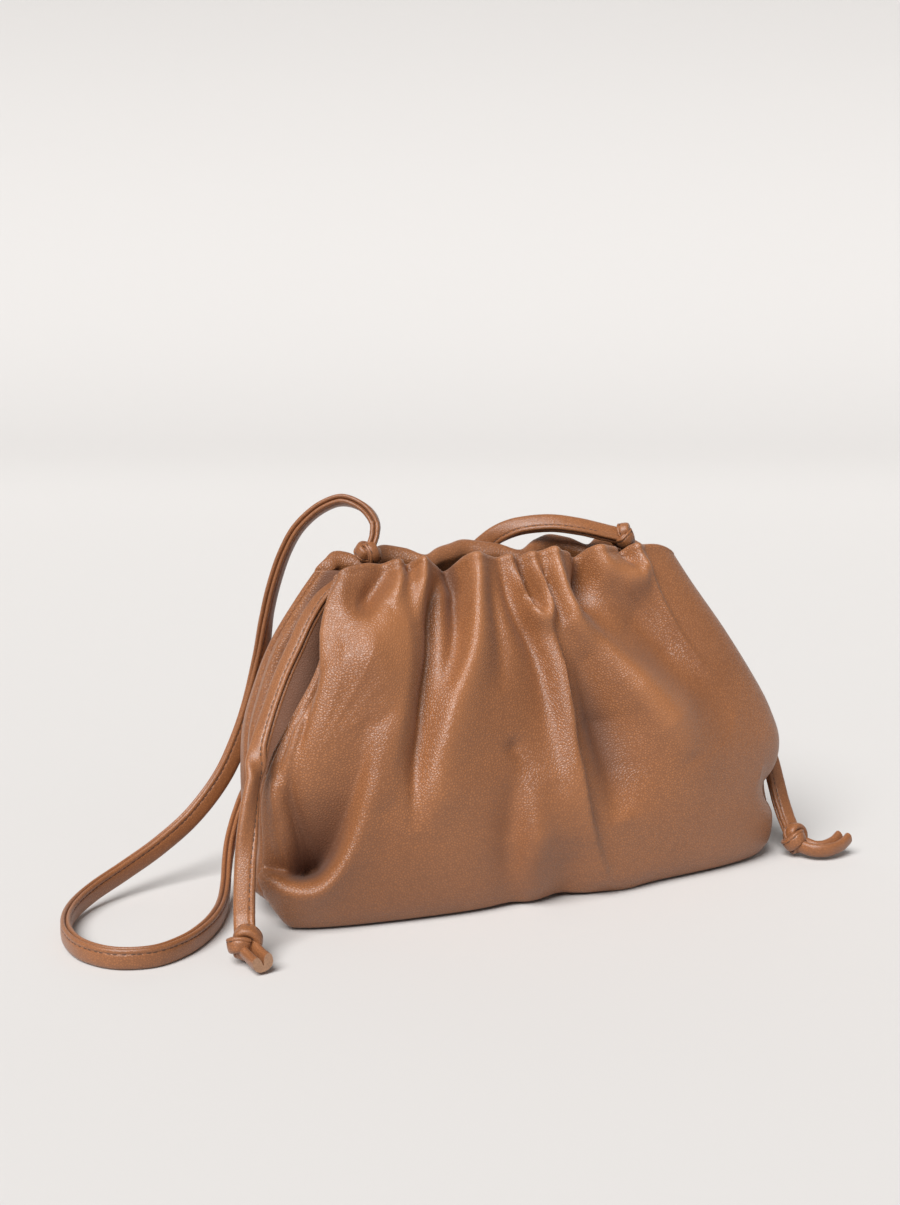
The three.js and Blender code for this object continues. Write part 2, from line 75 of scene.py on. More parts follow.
SECTION_COLUMNS = ("z", "front_left", "front_right", "back_left", "back_right", "front_seam", "back_seam",
                   "front_bulge", "back_bulge", "tuck")
SECTIONS = np.array([
    (0, -129, 128, -121, 120, 22, 23, 50, 53, 0),
    (8, -133, 133, -124, 124, 24, 25, 55, 58, -3),
    (20, -135, 134, -125, 125, 25, 25, 58, 61, -2),
    (36, -134, 133, -124, 124, 25, 25, 60, 62, 4),
    (60, -134, 136, -124, 124, 25, 25, 59, 61, 11),
    (76, -129, 131, -123, 121, 25, 26, 55, 57, 15),
    (90, -121, 124, -120, 116, 24, 26, 51, 53, 18),
    (118, -104, 108, -111, 105, 20, 24, 39, 42, 20),
    (142, -98, 95, -100, 93, 11, 17, 26, 30, 16),
    (RIM_HEIGHT, -90, 86, -90, 86, 5, 11, 17, 23, 8),
], float)

# Folds of a panel: path on its flat leather as (across, height), how far it stands out along the path
# (negative is a valley), its width to the left and right at both ends, and the radius of its crest.
FRONT_FOLDS = (
    # name, path, heights, left, right, crest
    ("lobe dent", ((-80, 163), (-90, 152), (-104, 144), (-116, 141)), (-7, -9, -6, -1), (7, 8), (6, 7), 2),
    ("lobe lip", ((-138, 146), (-127, 136), (-111, 130), (-97, 134), (-89, 148)),
     (1, 4, 6, 6, 5), (20, 16), (8, 6), 4),
    ("curl left", ((-84, 166), (-83, 152), (-88, 138)), (8, 7, 0), (5, 8), (3, 6), 2),
    ("curl hole", ((-72, 167), (-71, 156), (-72, 149)), (-15, -10, -1), (3, 3.5), (3, 3.5), 1),
    ("curl right", ((-66, 166), (-65, 149), (-70, 130)), (8, 8, 1), (4, 7), (3, 4), 2),
    ("long valley", ((-53, 150), (-61, 131), (-65, 108), (-63, 85), (-62, 60), (-64, 44)),
     (-5, -8, -7, -6, -5, 0), (3, 3.5), (4.5, 5.5), 1),
    ("deep valley", ((-46, 167), (-38.5, 150), (-40, 139), (-48, 120), (-55, 104)),
     (-12, -13, -12, -7, 0), (9, 6), (2.2, 2.5), 1.2),
    ("big tube", ((-30, 166), (-31, 150), (-36, 133), (-43, 118), (-49, 100), (-53, 80), (-58, 60),
                  (-64, 43)),
     (8, 8, 8, 8, 7.5, 6.5, 6, 1), (4, 6), (11, 20), 2.5),
    ("tube dip", ((-19, 166), (-20, 146), (-25, 122), (-27, 100)), (-5, -5, -4, 0), (4, 6), (3, 6), 1.5),
    ("slim ridge", ((-17, 166), (-18, 148), (-20, 122)), (4, 3, 0), (3, 4), (2.5, 4), 1.5),
    ("middle valley", ((-9.5, 162), (-8, 132), (-5, 108), (-4, 88), (-4, 62)),
     (-8, -8, -8, -7, -2), (6, 14), (2.4, 4), 1.2),
    ("fork", ((-7.5, 167), (-6.5, 147), (-4.5, 134), (1, 129.5), (6, 135), (7, 148), (5.5, 167)),
     (7, 8, 8, 6, 8, 8, 7), (3.5, 3.5), (3, 3), 1.3),
    ("fork hollow", ((0, 168), (1, 150), (1, 137)), (-10, -9, -2), (2.4, 3), (2.4, 3), 1),
    ("fork line", ((11, 166), (11.5, 148), (10.5, 130)), (-7, -7, -2), (2, 2.5), (2, 3), 1),
    ("crease crest", ((3, 127), (4, 108), (4.5, 90), (4.5, 72), (7, 52), (12, 32), (18, 13)),
     (2, 6, 7, 7, 6.5, 5.5, 2), (13, 19), (1.4, 2.2), 0.4),
    ("crease shade", ((14, 126), (17, 106), (20, 84), (22, 62), (26, 38)),
     (0, -9, -14, -10, 0), (8, 9), (11, 17), 2),
    ("second tube", ((19, 167), (17.5, 147), (17.5, 132), (19, 112)), (9, 10, 8, 0), (4, 5), (5, 6), 2),
    ("pocket", ((43, 167), (39, 152), (32, 141), (31, 131)), (-11, -13, -10, -2), (3, 3), (4, 10), 1.2),
    ("broad valley", ((48, 144), (63, 129), (70, 112), (78, 96), (92, 76)),
     (-4, -9, -8, -4, 0), (22, 20), (14, 22), 4),
    ("diagonal ridge", ((21, 128), (29, 113), (40, 97), (51, 80), (58, 62)),
     (3, 8, 11, 10, 3), (12, 16), (7, 22), 3),
    ("right lobe", ((45, 167), (50, 153), (62, 146), (74, 147)), (9, 10, 8, 5), (8, 9), (9, 9), 3),
    ("right hole", ((73, 167), (76, 155), (80, 149)), (-15, -9, 0), (3.5, 4), (3.5, 4), 1),
    ("right lip", ((85, 167), (85, 153), (78, 145), (66, 142)), (3, 4, 4, 2), (4, 4), (3, 4), 2),
    ("thin line", ((86, 150), (85, 130), (87, 112), (95, 96)), (2.2, 2, 1.4, 0), (2, 3), (2, 3), 0.8),
    ("scoop", ((-178, 31), (-152, 31), (-132, 29), (-120, 28.5), (-112, 30), (-106, 35), (-101, 42),
               (-96.5, 50), (-93, 58), (-91, 67), (-91, 78), (-98, 94)),
     (0, -4, -14, -17, -17, -15, -13, -11, -9, -7, -4, 0), (2.5, 4), (54, 42), 1),
    ("pit", ((-140, 30), (-126, 28.6), (-112, 30)), (0, -9, -7), (2.2, 2.2), (7, 7), 1),
    ("crevice", ((-176, 29), (-156, 30), (-138, 29.5)), (-5, -6, -6), (1.4, 1.6), (6, 6), 0.8),
    ("shelf", ((-178, 25.5), (-152, 26), (-132, 24), (-120, 23), (-110, 24.5), (-103, 30), (-97, 36.5),
               (-92, 44.5), (-88, 54), (-85.5, 64), (-85, 75), (-87, 92)),
     (3, 4, 5, 6, 6, 5, 4, 3, 2.5, 2, 1, 0), (9, 13), (2.2, 4), 0.8),
    ("side lobe", ((-158, 108), (-152, 94), (-149, 76), (-152, 52)), (1, 5, 5, 0), (12, 12), (7, 7), 3),
    ("side valley", ((-158, 120), (-151, 108), (-145, 90), (-147, 68)), (0, -4, -3, 0), (9, 9), (6, 7), 2),
    ("seam hollow", ((-162, 150), (-162, 130), (-161, 110), (-159, 92)), (-4, -9, -9, 0), (6, 6), (4, 4), 1),
    ("lobe edge", ((-141, 150), (-151, 130), (-150, 116), (-138, 98), (-131, 80)),
     (3, 7, 6, 3, 0), (6, 6), (16, 14), 3),
    ("left ridge", ((-83, 150), (-81, 130), (-80, 112), (-78, 95), (-77, 78), (-76, 56)),
     (1, 5, 6, 6, 4, 0), (26, 14), (7, 7), 4),
    ("belly", ((-148, 107), (-126, 116), (-106, 116), (-93, 107), (-86, 94)),
     (1, 7, 8, 5, 0), (24, 18), (14, 10), 3),
    ("small dent", ((-20, 77), (-16, 69)), (-2.5, -1), (3, 3), (3, 3), 1),
    ("low valley", ((-20, 66), (-21, 42), (-20, 24), (-17, 4)), (-1, -4, -5, -4), (7, 9), (3, 4), 1.5),
    ("low ridge", ((-14, 66), (-13.5, 52), (-13, 36), (-14, 12)), (0, 3, 5, 2), (4, 5), (7, 9), 2),
    ("foot dimple", ((4, 26), (4, 2)), (-2, -6), (7, 9), (6, 8), 2),
    ("foot ridge", ((20, 14), (32, 0)), (2, 4), (5, 6), (9, 12), 2),
    ("corner notch", ((174, 38), (152, 36.5), (134, 39), (112, 47)), (-7, -8, -5, 0), (5, 8), (6, 10), 1.5),
)
BACK_FOLDS = (
    # name, path, heights, left, right, crest
    ("outer left pleat", ((-112, 163), (-112, 138), (-120, 96)), (3, 3, 2), (8, 12), (9, 14), 4),
    ("left valley", ((-88, 163), (-88, 132), (-96, 84)), (-5, -5, -2), (6, 10), (7, 12), 2),
    ("left pleat", ((-66, 163), (-66, 132), (-72, 70)), (5, 4, 2), (7, 12), (8, 14), 3),
    ("inner left valley", ((-40, 163), (-42, 130), (-44, 60)), (-6, -5, -2), (5, 9), (6, 10), 2),
    ("middle pleat", ((-10, 163), (-12, 134), (-16, 88)), (5, 4, 2), (6, 12), (7, 12), 3),
    ("middle valley", ((22, 163), (20, 124), (18, 40)), (-7, -5, -2), (6, 9), (6, 12), 3),
    ("right pleat", ((48, 163), (48, 130), (51, 76)), (5, 4, 2), (7, 12), (7, 12), 3),
    ("right valley", ((72, 163), (72, 130), (79, 60)), (-6, -5, -2), (5, 10), (7, 14), 2),
    ("outer right pleat", ((98, 163), (100, 132), (110, 88)), (4, 4, 2), (9, 12), (9, 12), 4),
)
# Folds of a gusset, the same way, across its own flat leather. They fade at the seams, and the painted shade
# and highlight that follow them and the tuck are made three times as strong as on the panels.
GUSSET_FLAT_HALF = 30
GUSSET_SEAM_FADE = 8
GUSSET_PAINTED_SHADE = 3
GUSSET_FOLDS = (
    # name, path, heights, left, right, crest
    ("front fold", ((-14, 160), (-15, 120), (-13, 80), (-16, 46)), (2, 4, 4, 1), (4, 6), (4, 6), 2),
    ("front valley", ((-4, 158), (-4, 118), (-2, 76), (-5, 40)), (-5, -10, -8, -1), (6, 7), (6, 7), 1.5),
    ("back roll", ((17, 160), (17, 120), (16, 80), (18, 40)), (5, 11, 9, 0), (10, 10), (9, 9), 5),
)
# How a fold falls off beside its line, the steps of the line, how soft a bend of it is, the least distance
# from it, the width under which a fold gets painted shade and painted highlight, and how far folds fade
# beside a seam
FOLD_POWER = 1.4
FOLD_STEPS = 40
FOLD_BLEND = 0.15
FOLD_TINY = 1e-3
SHARP_FOLD = 9
SEAM_FADE = 7

# Turn of the leather at its seams. At the foot it is an arc in degrees and a lip inside, as (height,
# distance in past the arc), and only a share of each fold reaches it.
SEAM_TURN = 3
FOOT_TURN = 2.6
FOOT_ARC = 75
FOOT_ROWS = 5
FOOT_LIP = ((2.5, 2.2), (1.0, 1.8), (0.2, 0.8))
FOOT_FOLD = 0.5
FOOT_FADE = 4 * FOOT_TURN
# Sag of the valleys in the lower half of the wall
SAG = 0.35
SAG_TOP = 80
SAG_FADE = 40
SAG_FOOT = 20
# Drop of the rim towards the gussets
RIM_DROP = 5
RIM_DROP_START = 105
RIM_DROP_CURVE = 3
# Roll of the rim, from its first angle in degrees to half a turn, and the hem inside
RIM_START = 156
RIM_FIRST_ANGLE = 12
RIM_ROWS = 14
RIM_ROLL = 4.4
RIM_END_ROLL = 1.7
RIM_END_FADE = 75
RIM_THIN = 2.6
HEM_FIRST = 1.5
HEM_DEPTH = 12
HEM_ROWS = 7
# How the rim follows the gathers, rounds them off and dips in their valleys
RIM_FOLLOW = 0.15
RIM_SOFT = 3
RIM_SOFT_START = 140
RIM_WAVE = 0.22
RIM_WAVE_START = 138
# Distance from row to row, closer below LOW_REACH, and columns, closer beside the seams
WALL_ROW = 1.5
LOW_REACH = 36
LOW_ROW = 0.7
FRONT_COLUMNS = 264
BACK_COLUMNS = 176
EDGE_SHARE = 0.035
EDGE_REACH = 3.5
GUSSET_COLUMNS = 52
NORMAL_REACH = 1.0
# The base panel: its grid, its distance in from the panels' turned foot, and its height off the floor
BASE_COLUMNS = 120
BASE_ROWS = 40
BASE_INSET = 1.8
BASE_EDGE = FOOT_TURN + BASE_INSET
BASE_RISE = 0.3
# Slit for a tail, in metres, its highest point, and how far around it the leather is drawn to its edge
SLIT_WIDTH = 0.0112
SLIT_HEIGHT = 0.006
SLIT_TOP = 0.1515
SLIT_SNAP = 1.6

# Strap routes in metres: place of the strap's middle, and the way its grooved edge looks
SHOULDER_STRAP = (
    # x, y, z, groove x, y, z
    (-0.0658, 0.0056, 0.1682, -1, -2, 0),
    (-0.0643, 0.008, 0.1725, -1, -2, 0),
    (-0.0652, 0.0105, 0.177, -1, -2, 0),
    (-0.0685, 0.014, 0.181, -1, -2, 0.4),
    (-0.0755, 0.0205, 0.1835, -1, -2.2, 1),
    (-0.0835, 0.0265, 0.18, -1.5, -2, 0.8),
    (-0.0925, 0.0325, 0.1707, -2, -2, 0.3),
    (-0.098, 0.0365, 0.1595, -2, -2, 0),
    (-0.1025, 0.04, 0.1445, -2, -2, 0),
    (-0.1055, 0.043, 0.129, -2, -2, 0),
    (-0.1075, 0.047, 0.108, -2, -1, 0),
    (-0.112, 0.0495, 0.0845, -1, 0, 0),
    (-0.1185, 0.051, 0.0655, -1, 0, 1),
    (-0.1275, 0.051, 0.0485, -1, 0, 2),
    (-0.143, 0.0495, 0.0315, 0, 0, 1),
    (-0.1605, 0.046, 0.0202, 0, 0, 1),
    (-0.1785, 0.04, 0.0127, 0, 0, 1),
    (-0.196, 0.03, 0.008, 0, 0, 1),
    (-0.2075, 0.018, 0.0058, 0, 0, 1),
    (-0.215, 0.003, 0.005, 0, 0, 1),
    (-0.2185, -0.015, 0.0049, 0, 0, 1),
    (-0.216, -0.034, 0.0049, 0, 0, 1),
    (-0.206, -0.048, 0.0049, 0, 0, 1),
    (-0.191, -0.0525, 0.0049, 0, 0, 1),
    (-0.176, -0.046, 0.0049, 0, 0, 1),
    (-0.163, -0.0335, 0.0049, 0, 0, 1),
    (-0.153, -0.019, 0.0049, 0, 0, 1),
    (-0.1455, -0.004, 0.0052, 0, 0, 1),
    (-0.14, 0.009, 0.008, 0, 0, 1),
    (-0.135, 0.022, 0.0135, 0, 0, 1),
    (-0.13, 0.0325, 0.0205, 0, 0, 1),
    (-0.122, 0.045, 0.029, 0, 0, 1),
    (-0.113, 0.0545, 0.0385, 0, 0, 1),
    (-0.095, 0.063, 0.054, 0, 0, 1),
    (-0.067, 0.066, 0.077, -1, 0, 1),
    (-0.039, 0.0605, 0.102, -1, 1, 0),
    (-0.017, 0.05, 0.127, 0, 1, -1),
    (-0.0005, 0.039, 0.15, 0, 0, -1),
    (0.008, 0.0305, 0.1605, 0, 0, -1),
    (0.013, 0.026, 0.1642, 0, -1, -2),
    (0.019, 0.0215, 0.1666, 0, -1, -1),
    (0.0315, 0.0145, 0.168, 0, -1, -1),
    (0.0445, 0.009, 0.1662, 0, -1, -1),
    (0.057, 0.0055, 0.163, 0, -1, -1),
)
LEFT_TAIL = (
    # x, y, z, groove x, y, z
    (-0.0774, 0.002, 0.1532, 0, -1, 0),
    (-0.0818, 0.0016, 0.1498, 0, -1, 0),
    (-0.0864, 0.0016, 0.1468, 0.1, -1, 0),
    (-0.0938, 0.0002, 0.142, 0.3, -0.95, 0),
    (-0.103, -0.0054, 0.1336, 0.4, -0.9, 0),
    (-0.111, -0.0108, 0.123, 0.4, -0.9, 0),
    (-0.1195, -0.0166, 0.1115, 0.35, -0.93, 0),
    (-0.1285, -0.0244, 0.0975, 0.3, -0.95, 0),
    (-0.136, -0.031, 0.084, 0.5, -0.86, 0),
    (-0.141, -0.037, 0.071, 0.63, 0.76, 0),
    (-0.1455, -0.043, 0.0555, 1, 0.4, 0),
    (-0.149, -0.049, 0.04, 1, -0.4, 0),
    (-0.1515, -0.054, 0.0275, 2, -1, 0),
    (-0.1528, -0.0572, 0.019, 2, -1, 0),
)
RIGHT_TAIL = (
    # x, y, z, groove x, y, z
    (0.0738, 0.002, 0.1534, 0, -1, 0),
    (0.0778, 0.0016, 0.1498, 0, -1, 0),
    (0.0824, 0.0016, 0.1466, 0, -1, 0),
    (0.09, 0.0006, 0.1406, 0, -1, 0),
    (0.0985, -0.001, 0.1295, 0, -1, 0),
    (0.108, -0.0025, 0.1135, 0, -1, 0),
    (0.119, -0.0045, 0.0955, 0, -1, 0),
    (0.129, -0.008, 0.076, -0.5, -0.8, 0),
    (0.1375, -0.013, 0.0585, -1, -0.3, 0),
    (0.1424, -0.0175, 0.045, -1, 0, 0),
    (0.1434, -0.022, 0.034, -1, 0, 0),
    (0.1434, -0.027, 0.0245, -1, 0, 0),
    (0.143, -0.032, 0.018, -1, 0, 0),
)
LEFT_CUT_END = (
    # x, y, z, groove x, y, z
    (-0.1545, -0.067, 0.0072, -0.2, 0, 1),
    (-0.1532, -0.0745, 0.0054, -0.2, 0, 1),
    (-0.1525, -0.0805, 0.0052, -0.2, 0, 1),
)
RIGHT_CUT_END = (
    # x, y, z, groove x, y, z
    (0.143, -0.045, 0.0064, 0, 0, 1),
    (0.1465, -0.051, 0.0053, 0, 0, 1),
    (0.152, -0.0535, 0.0052, 0, 0, 1),
    (0.16, -0.0525, 0.0062, 0, 0, 1),
    (0.166, -0.05, 0.0082, 0, 0, 1),
)

# Half of the strap's section, from the bottom of its groove round to the folded edge, as shares of its
# half width and half thickness
STRAP_HALF_SECTION = (
    # across the width, across the thickness
    (0.62, 0.0), (0.82, 0.1), (0.95, 0.26), (1.0, 0.48), (0.965, 0.72), (0.87, 0.91), (0.74, 0.985),
    (0.62, 0.95), (0.53, 0.83), (0.44, 0.95), (0.3, 1.01), (0.0, 1.03), (-0.34, 1.02), (-0.65, 0.94),
    (-0.85, 0.72), (-0.965, 0.4), (-1.0, 0.0),
)
# A cut end, where the fold has opened into two rolled lobes
CUT_HALF_SECTION = (
    # across the width, across the thickness
    (-0.3, 0.0), (0.1, 0.08), (0.5, 0.16), (0.82, 0.3), (1.0, 0.54), (0.92, 0.8), (0.68, 0.96),
    (0.3, 1.0), (-0.2, 0.97), (-0.62, 0.8), (-0.9, 0.45), (-1.0, 0.0),
)
# Steps between two points of a route, the length of a strap's faces, the least number of them, and the
# distance under which points are merged
ROUTE_STEPS = 24
STRAP_STEP = 0.0012
LEAST_STEPS = 8
WELD = 1e-7
# A stitch: its place as shares of the section's half sizes, the faces of its sphere, and how flat it is
STITCH_PLACE = 0.53
STITCH_HEIGHT = 0.85
STITCH_SEGMENTS = 6
STITCH_RINGS = 5
STITCH_FLATNESS = 1.3


def smoothstep(value, low, high):
    share = np.clip((value - low) / (high - low), 0, 1)
    return share * share * (3 - 2 * share)


def unit(vectors):
    return vectors / np.linalg.norm(vectors, axis=-1, keepdims=True)


def curve(t, start, end, leave, arrive):
    """A smooth way from start to end that leaves and arrives with the slopes given."""
    ahead = 3 * t**2 - 2 * t**3
    return (1 - ahead) * start + (t**3 - 2 * t**2 + t) * leave + ahead * end + (t**3 - t**2) * arrive


def four_around(ends, place):
    """How far each place is past its point of a line, and the four points around it."""
    row = np.clip(place.astype(int), 0, len(ends) - 4)
    return (place - row)[:, None], [ends[row + k] for k in range(4)]


def distances(line):
    """Distance of each point from the start of its line."""
    return np.concatenate([[0], np.cumsum(np.linalg.norm(np.diff(line, axis=0), axis=1))])


# Shape of the body

def section(column, z):
    """A column of the section table at heights z, on a smooth curve through its rows."""
    heights = SECTIONS[:, 0]
    values = SECTIONS[:, SECTION_COLUMNS.index(column)]
    slopes = np.empty(len(values))
    slopes[1:-1] = (values[2:] - values[:-2]) / (heights[2:] - heights[:-2])
    slopes[0] = (values[1] - values[0]) / (heights[1] - heights[0])
    slopes[-1] = (values[-1] - values[-2]) / (heights[-1] - heights[-2])
    z = np.clip(z, heights[0], heights[-1])
    row = np.clip(np.searchsorted(heights, z, side="right") - 1, 0, len(heights) - 2)
    span = heights[row + 1] - heights[row]
    t = (z - heights[row]) / span
    return curve(t, values[row], values[row + 1], span * slopes[row], span * slopes[row + 1])


def lift(across, z):
    """How far the body is lifted off the floor at a place across the panels, dying away up the wall."""
    reach = np.clip((np.abs(across) - LIFT_START) / LIFT_SPAN, 0, 1)
    fade = np.clip(1 - z / LIFT_FADE, 0, 1)
    end = np.where(across < 0, LIFT_LEFT, LIFT_RIGHT)
    return end * reach**LIFT_CURVE * fade**2


def plain_panel(side, across, z):
    """Points of the front (side -1) or back (side 1) panel before it is folded."""
    name = SIDE_NAMES[side]
    left = section(f"{name}_left", z)
    right = section(f"{name}_right", z)
    turn = math.pi / 2 * across / FLAT_HALF
    x = (left + right) / 2 + (right - left) / 2 * np.sin(turn)
    seam = section(f"{name}_seam", z)
    bulge = section(f"{name}_bulge", z)
    y = side * (seam + (bulge - seam) * np.clip(np.cos(turn), 0, 1) ** END_ROUND)
    near_end = smoothstep(np.abs(across), RIM_DROP_START, FLAT_HALF)
    drop = RIM_DROP * near_end * (z / RIM_HEIGHT) ** RIM_DROP_CURVE
    return np.stack([x, y, z + lift(across, z) - drop], -1)


def outward(side, panel, across, z):
    """Outward normals of the front (side -1) or back (side 1), where panel gives its points."""
    inner = np.clip(across, NORMAL_REACH - FLAT_HALF, FLAT_HALF - NORMAL_REACH)
    level = np.clip(z, NORMAL_REACH, RIM_HEIGHT - NORMAL_REACH)
    sideways = panel(inner + NORMAL_REACH, level) - panel(inner - NORMAL_REACH, level)
    upward = panel(inner, level + NORMAL_REACH) - panel(inner, level - NORMAL_REACH)
    return unit(np.cross(sideways, upward) * -side)


def fold_line(path):
    """A smooth line through a fold's points."""
    points = np.array(path, float)
    ends = np.vstack([points[:1], points, points[-1:]])
    t, (a, b, c, d) = four_around(ends, np.linspace(0, len(points) - 1, FOLD_STEPS + 1))
    return curve(t, b, c, (c - a) / 2, (d - b) / 2)


def fold_height(folds, across, z):
    """How far all folds together move the leather out at places on the flat panel."""
    total = np.zeros_like(across)
    for _name, path, heights, left, right, crest in folds:
        line = fold_line(path)
        start = line[:-1]
        step = np.diff(line, axis=0)
        length = np.hypot(step[:, 0], step[:, 1])
        away_x = across[:, None] - start[:, 0]
        away_z = z[:, None] - start[:, 1]
        share = np.clip((away_x * step[:, 0] + away_z * step[:, 1]) / length**2, 0, 1)
        off_x = away_x - share * step[:, 0]
        off_z = away_z - share * step[:, 1]
        distance = np.maximum(np.hypot(off_x, off_z), FOLD_TINY)
        nearest = distance.min(1, keepdims=True)
        weight = np.exp((nearest - distance) / (FOLD_BLEND * nearest + FOLD_TINY))
        weight /= weight.sum(1, keepdims=True)
        along = (weight * (np.arange(FOLD_STEPS) + share)).sum(1) / FOLD_STEPS
        side = (weight * (step[:, 0] * off_z - step[:, 1] * off_x) / (length * distance)).sum(1)
        to_right = smoothstep(side, -1, 1)
        width_left = left[0] + (left[1] - left[0]) * along
        width_right = right[0] + (right[1] - right[0]) * along
        width = width_left + (width_right - width_left) * to_right
        height = np.interp(along, np.linspace(0, 1, len(heights)), heights)
        reach = np.hypot((weight * distance).sum(1), crest) - crest
        total += height * np.exp(-((reach / width) ** FOLD_POWER))
    return total


def is_sharp(fold):
    """Whether a fold is narrow enough to get painted shade in its valley and painted highlight on its crest.
    """
    _name, _path, _heights, left, right, _crest = fold
    return min(*left, *right) < SHARP_FOLD


# Meshes

CRISP_ANGLE = math.radians(65)
# Vertex attribute with the folds' heights: painted shade in the valleys, and lighter crests that are partly
# rubbed wear and partly painted highlight
FOLD_SHADING_MARK = "fold"


def deselect():
    for piece in bpy.context.selected_objects:
        piece.select_set(False)


def make_active(piece):
    deselect()
    piece.select_set(True)
    bpy.context.view_layer.objects.active = piece


def add_grid(name, columns, rows):
    """A flat grid as a new piece, with the column and row number of each vertex."""
    deselect()
    bpy.ops.mesh.primitive_grid_add(x_subdivisions=columns, y_subdivisions=rows, size=1)
    piece = bpy.context.active_object
    piece.name = name
    piece.data.name = name
    points = np.empty(len(piece.data.vertices) * 3)
    piece.data.vertices.foreach_get("co", points)
    points = points.reshape(-1, 3)
    column = np.rint((points[:, 0] + 0.5) * columns).astype(int)
    row = np.rint((points[:, 1] + 0.5) * rows).astype(int)
    return piece, column, row


def move_points(piece, points):
    piece.data.vertices.foreach_set("co", np.asarray(points, float).ravel())
    piece.data.update()


def add_modifier(piece, kind, **settings):
    make_active(piece)
    bpy.ops.object.modifier_add(type=kind)
    modifier = piece.modifiers[-1]
    for key, value in settings.items():
        setattr(modifier, key, value)
    bpy.ops.object.modifier_apply(modifier=modifier.name)


def shade_smooth(piece):
    """Rounds a piece's shading, but keeps its cut ends crisp."""
    make_active(piece)
    bpy.ops.object.shade_smooth_by_angle(angle=CRISP_ANGLE)


def mark_fold_shading(piece, raised):
    """Keeps how far the folds move each vertex, for the painted shade in the valleys and the lighter crests.
    """
    tone = piece.data.attributes.new(FOLD_SHADING_MARK, "FLOAT", "POINT")
    tone.data.foreach_set("value", np.asarray(raised, np.float32))


def join(name, pieces):
    """Several meshes as one piece."""
    make_active(pieces[0])
    for piece in pieces[1:]:
        piece.select_set(True)
    bpy.ops.object.join()
    pieces[0].name = name
    pieces[0].data.name = name
    return pieces[0]


def finish_piece(piece, nodes=()):
    """Rides the piece on the bag, in place of its CAD nodes."""
    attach(piece, BODY)
    if nodes:
        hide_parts(*nodes)


# Straps

Route = namedtuple("Route", "line tangents grooves")


def smooth_route(rows):
    """A strap's route as even points, with the ways it runs and its grooved edge looks, and its length."""
    rows = np.array(rows, float)
    points = rows[:, :3]
    ends = np.vstack([2 * points[0] - points[1], points, 2 * points[-1] - points[-2]])
    place = np.linspace(0, len(points) - 1, (len(points) - 1) * ROUTE_STEPS + 1)
    t, (a, b, c, d) = four_around(ends, place)
    gap = [np.sqrt(np.linalg.norm(q - p, axis=1))[:, None] for p, q in ((a, b), (b, c), (c, d))]
    leave = ((b - a) / gap[0] - (c - a) / (gap[0] + gap[1]) + (c - b) / gap[1]) * gap[1]
    arrive = ((c - b) / gap[1] - (d - b) / (gap[1] + gap[2]) + (d - c) / gap[2]) * gap[1]
    line = curve(t, b, c, leave, arrive)
    along = distances(line)
    count = max(int(along[-1] / STRAP_STEP), LEAST_STEPS)
    even = np.linspace(0, along[-1], count + 1)
    line = np.stack([np.interp(even, along, line[:, k]) for k in range(3)], 1)
    place = np.interp(even, along, place)
    edges = unit(rows[:, 3:])
    grooves = np.stack([np.interp(place, np.arange(len(rows)), edges[:, k]) for k in range(3)], 1)
    tangents = unit(np.gradient(line, axis=0))
    grooves = unit(grooves - (grooves * tangents).sum(1, keepdims=True) * tangents)
    return Route(line, tangents, grooves), along[-1]


def strap_section(half, width, thickness):
    """The closed section of a strap from half of its outline."""
    outline = np.array(half, float) * (width / 2, thickness / 2)
    mirrored = outline[-2:0:-1] * (1, -1)
    return np.vstack([outline, mirrored])


def sweep(name, route, half, width, thickness):
    """A closed tube of a section along a route."""
    binormals = np.cross(route.tangents, route.grooves)
    shape = strap_section(half, width, thickness)
    piece, column, row = add_grid(name, len(shape), len(route.line) - 1)
    corner = shape[column % len(shape)]
    points = route.line[row] + route.grooves[row] * corner[:, :1] + binormals[row] * corner[:, 1:]
    move_points(piece, points)
    make_active(piece)
    bpy.ops.object.mode_set(mode="EDIT")
    bpy.ops.mesh.select_all(action="SELECT")
    bpy.ops.mesh.remove_doubles(threshold=WELD)
    bpy.ops.mesh.fill_holes(sides=0)
    bpy.ops.mesh.select_all(action="SELECT")
    bpy.ops.mesh.normals_make_consistent(inside=False)
    bpy.ops.object.mode_set(mode="OBJECT")
    return piece


def add_stitches(name, route, sizes, width, thickness, sides=(1, -1)):
    """The thread of the stitch lines along a strap, as one piece of many short stitches."""
    line, tangents, grooves = route
    binormals = np.cross(tangents, grooves)
    along = distances(line)
    places = np.arange(sizes.stitch_pitch, along[-1] - sizes.stitch_pitch, sizes.stitch_pitch)
    index = np.searchsorted(along, places)
    deselect()
    bpy.ops.mesh.primitive_uv_sphere_add(segments=STITCH_SEGMENTS, ring_count=STITCH_RINGS, radius=1)
    stitch = bpy.context.active_object
    one = np.array([v.co for v in stitch.data.vertices])
    one *= np.array((sizes.stitch_length, sizes.stitch_width, sizes.stitch_width / STITCH_FLATNESS)) / 2
    faces = [tuple(p.vertices) for p in stitch.data.polygons]
    bpy.data.objects.remove(stitch)
    points = []
    polygons = []
    height = STITCH_HEIGHT * thickness / 2
    for face in sides:
        for i in index:
            centre = line[i] + grooves[i] * STITCH_PLACE * width / 2 + face * binormals[i] * height
            axes = np.stack([tangents[i], grooves[i], face * binormals[i]])
            polygons += [tuple(len(points) * len(one) + k for k in p) for p in faces]
            points.append(centre + one @ axes)
    mesh = bpy.data.meshes.new(name)
    mesh.from_pydata(np.vstack(points).tolist(), [], polygons)
    piece = bpy.data.objects.new(name, mesh)
    bpy.context.scene.collection.objects.link(piece)
    return piece


# Materials

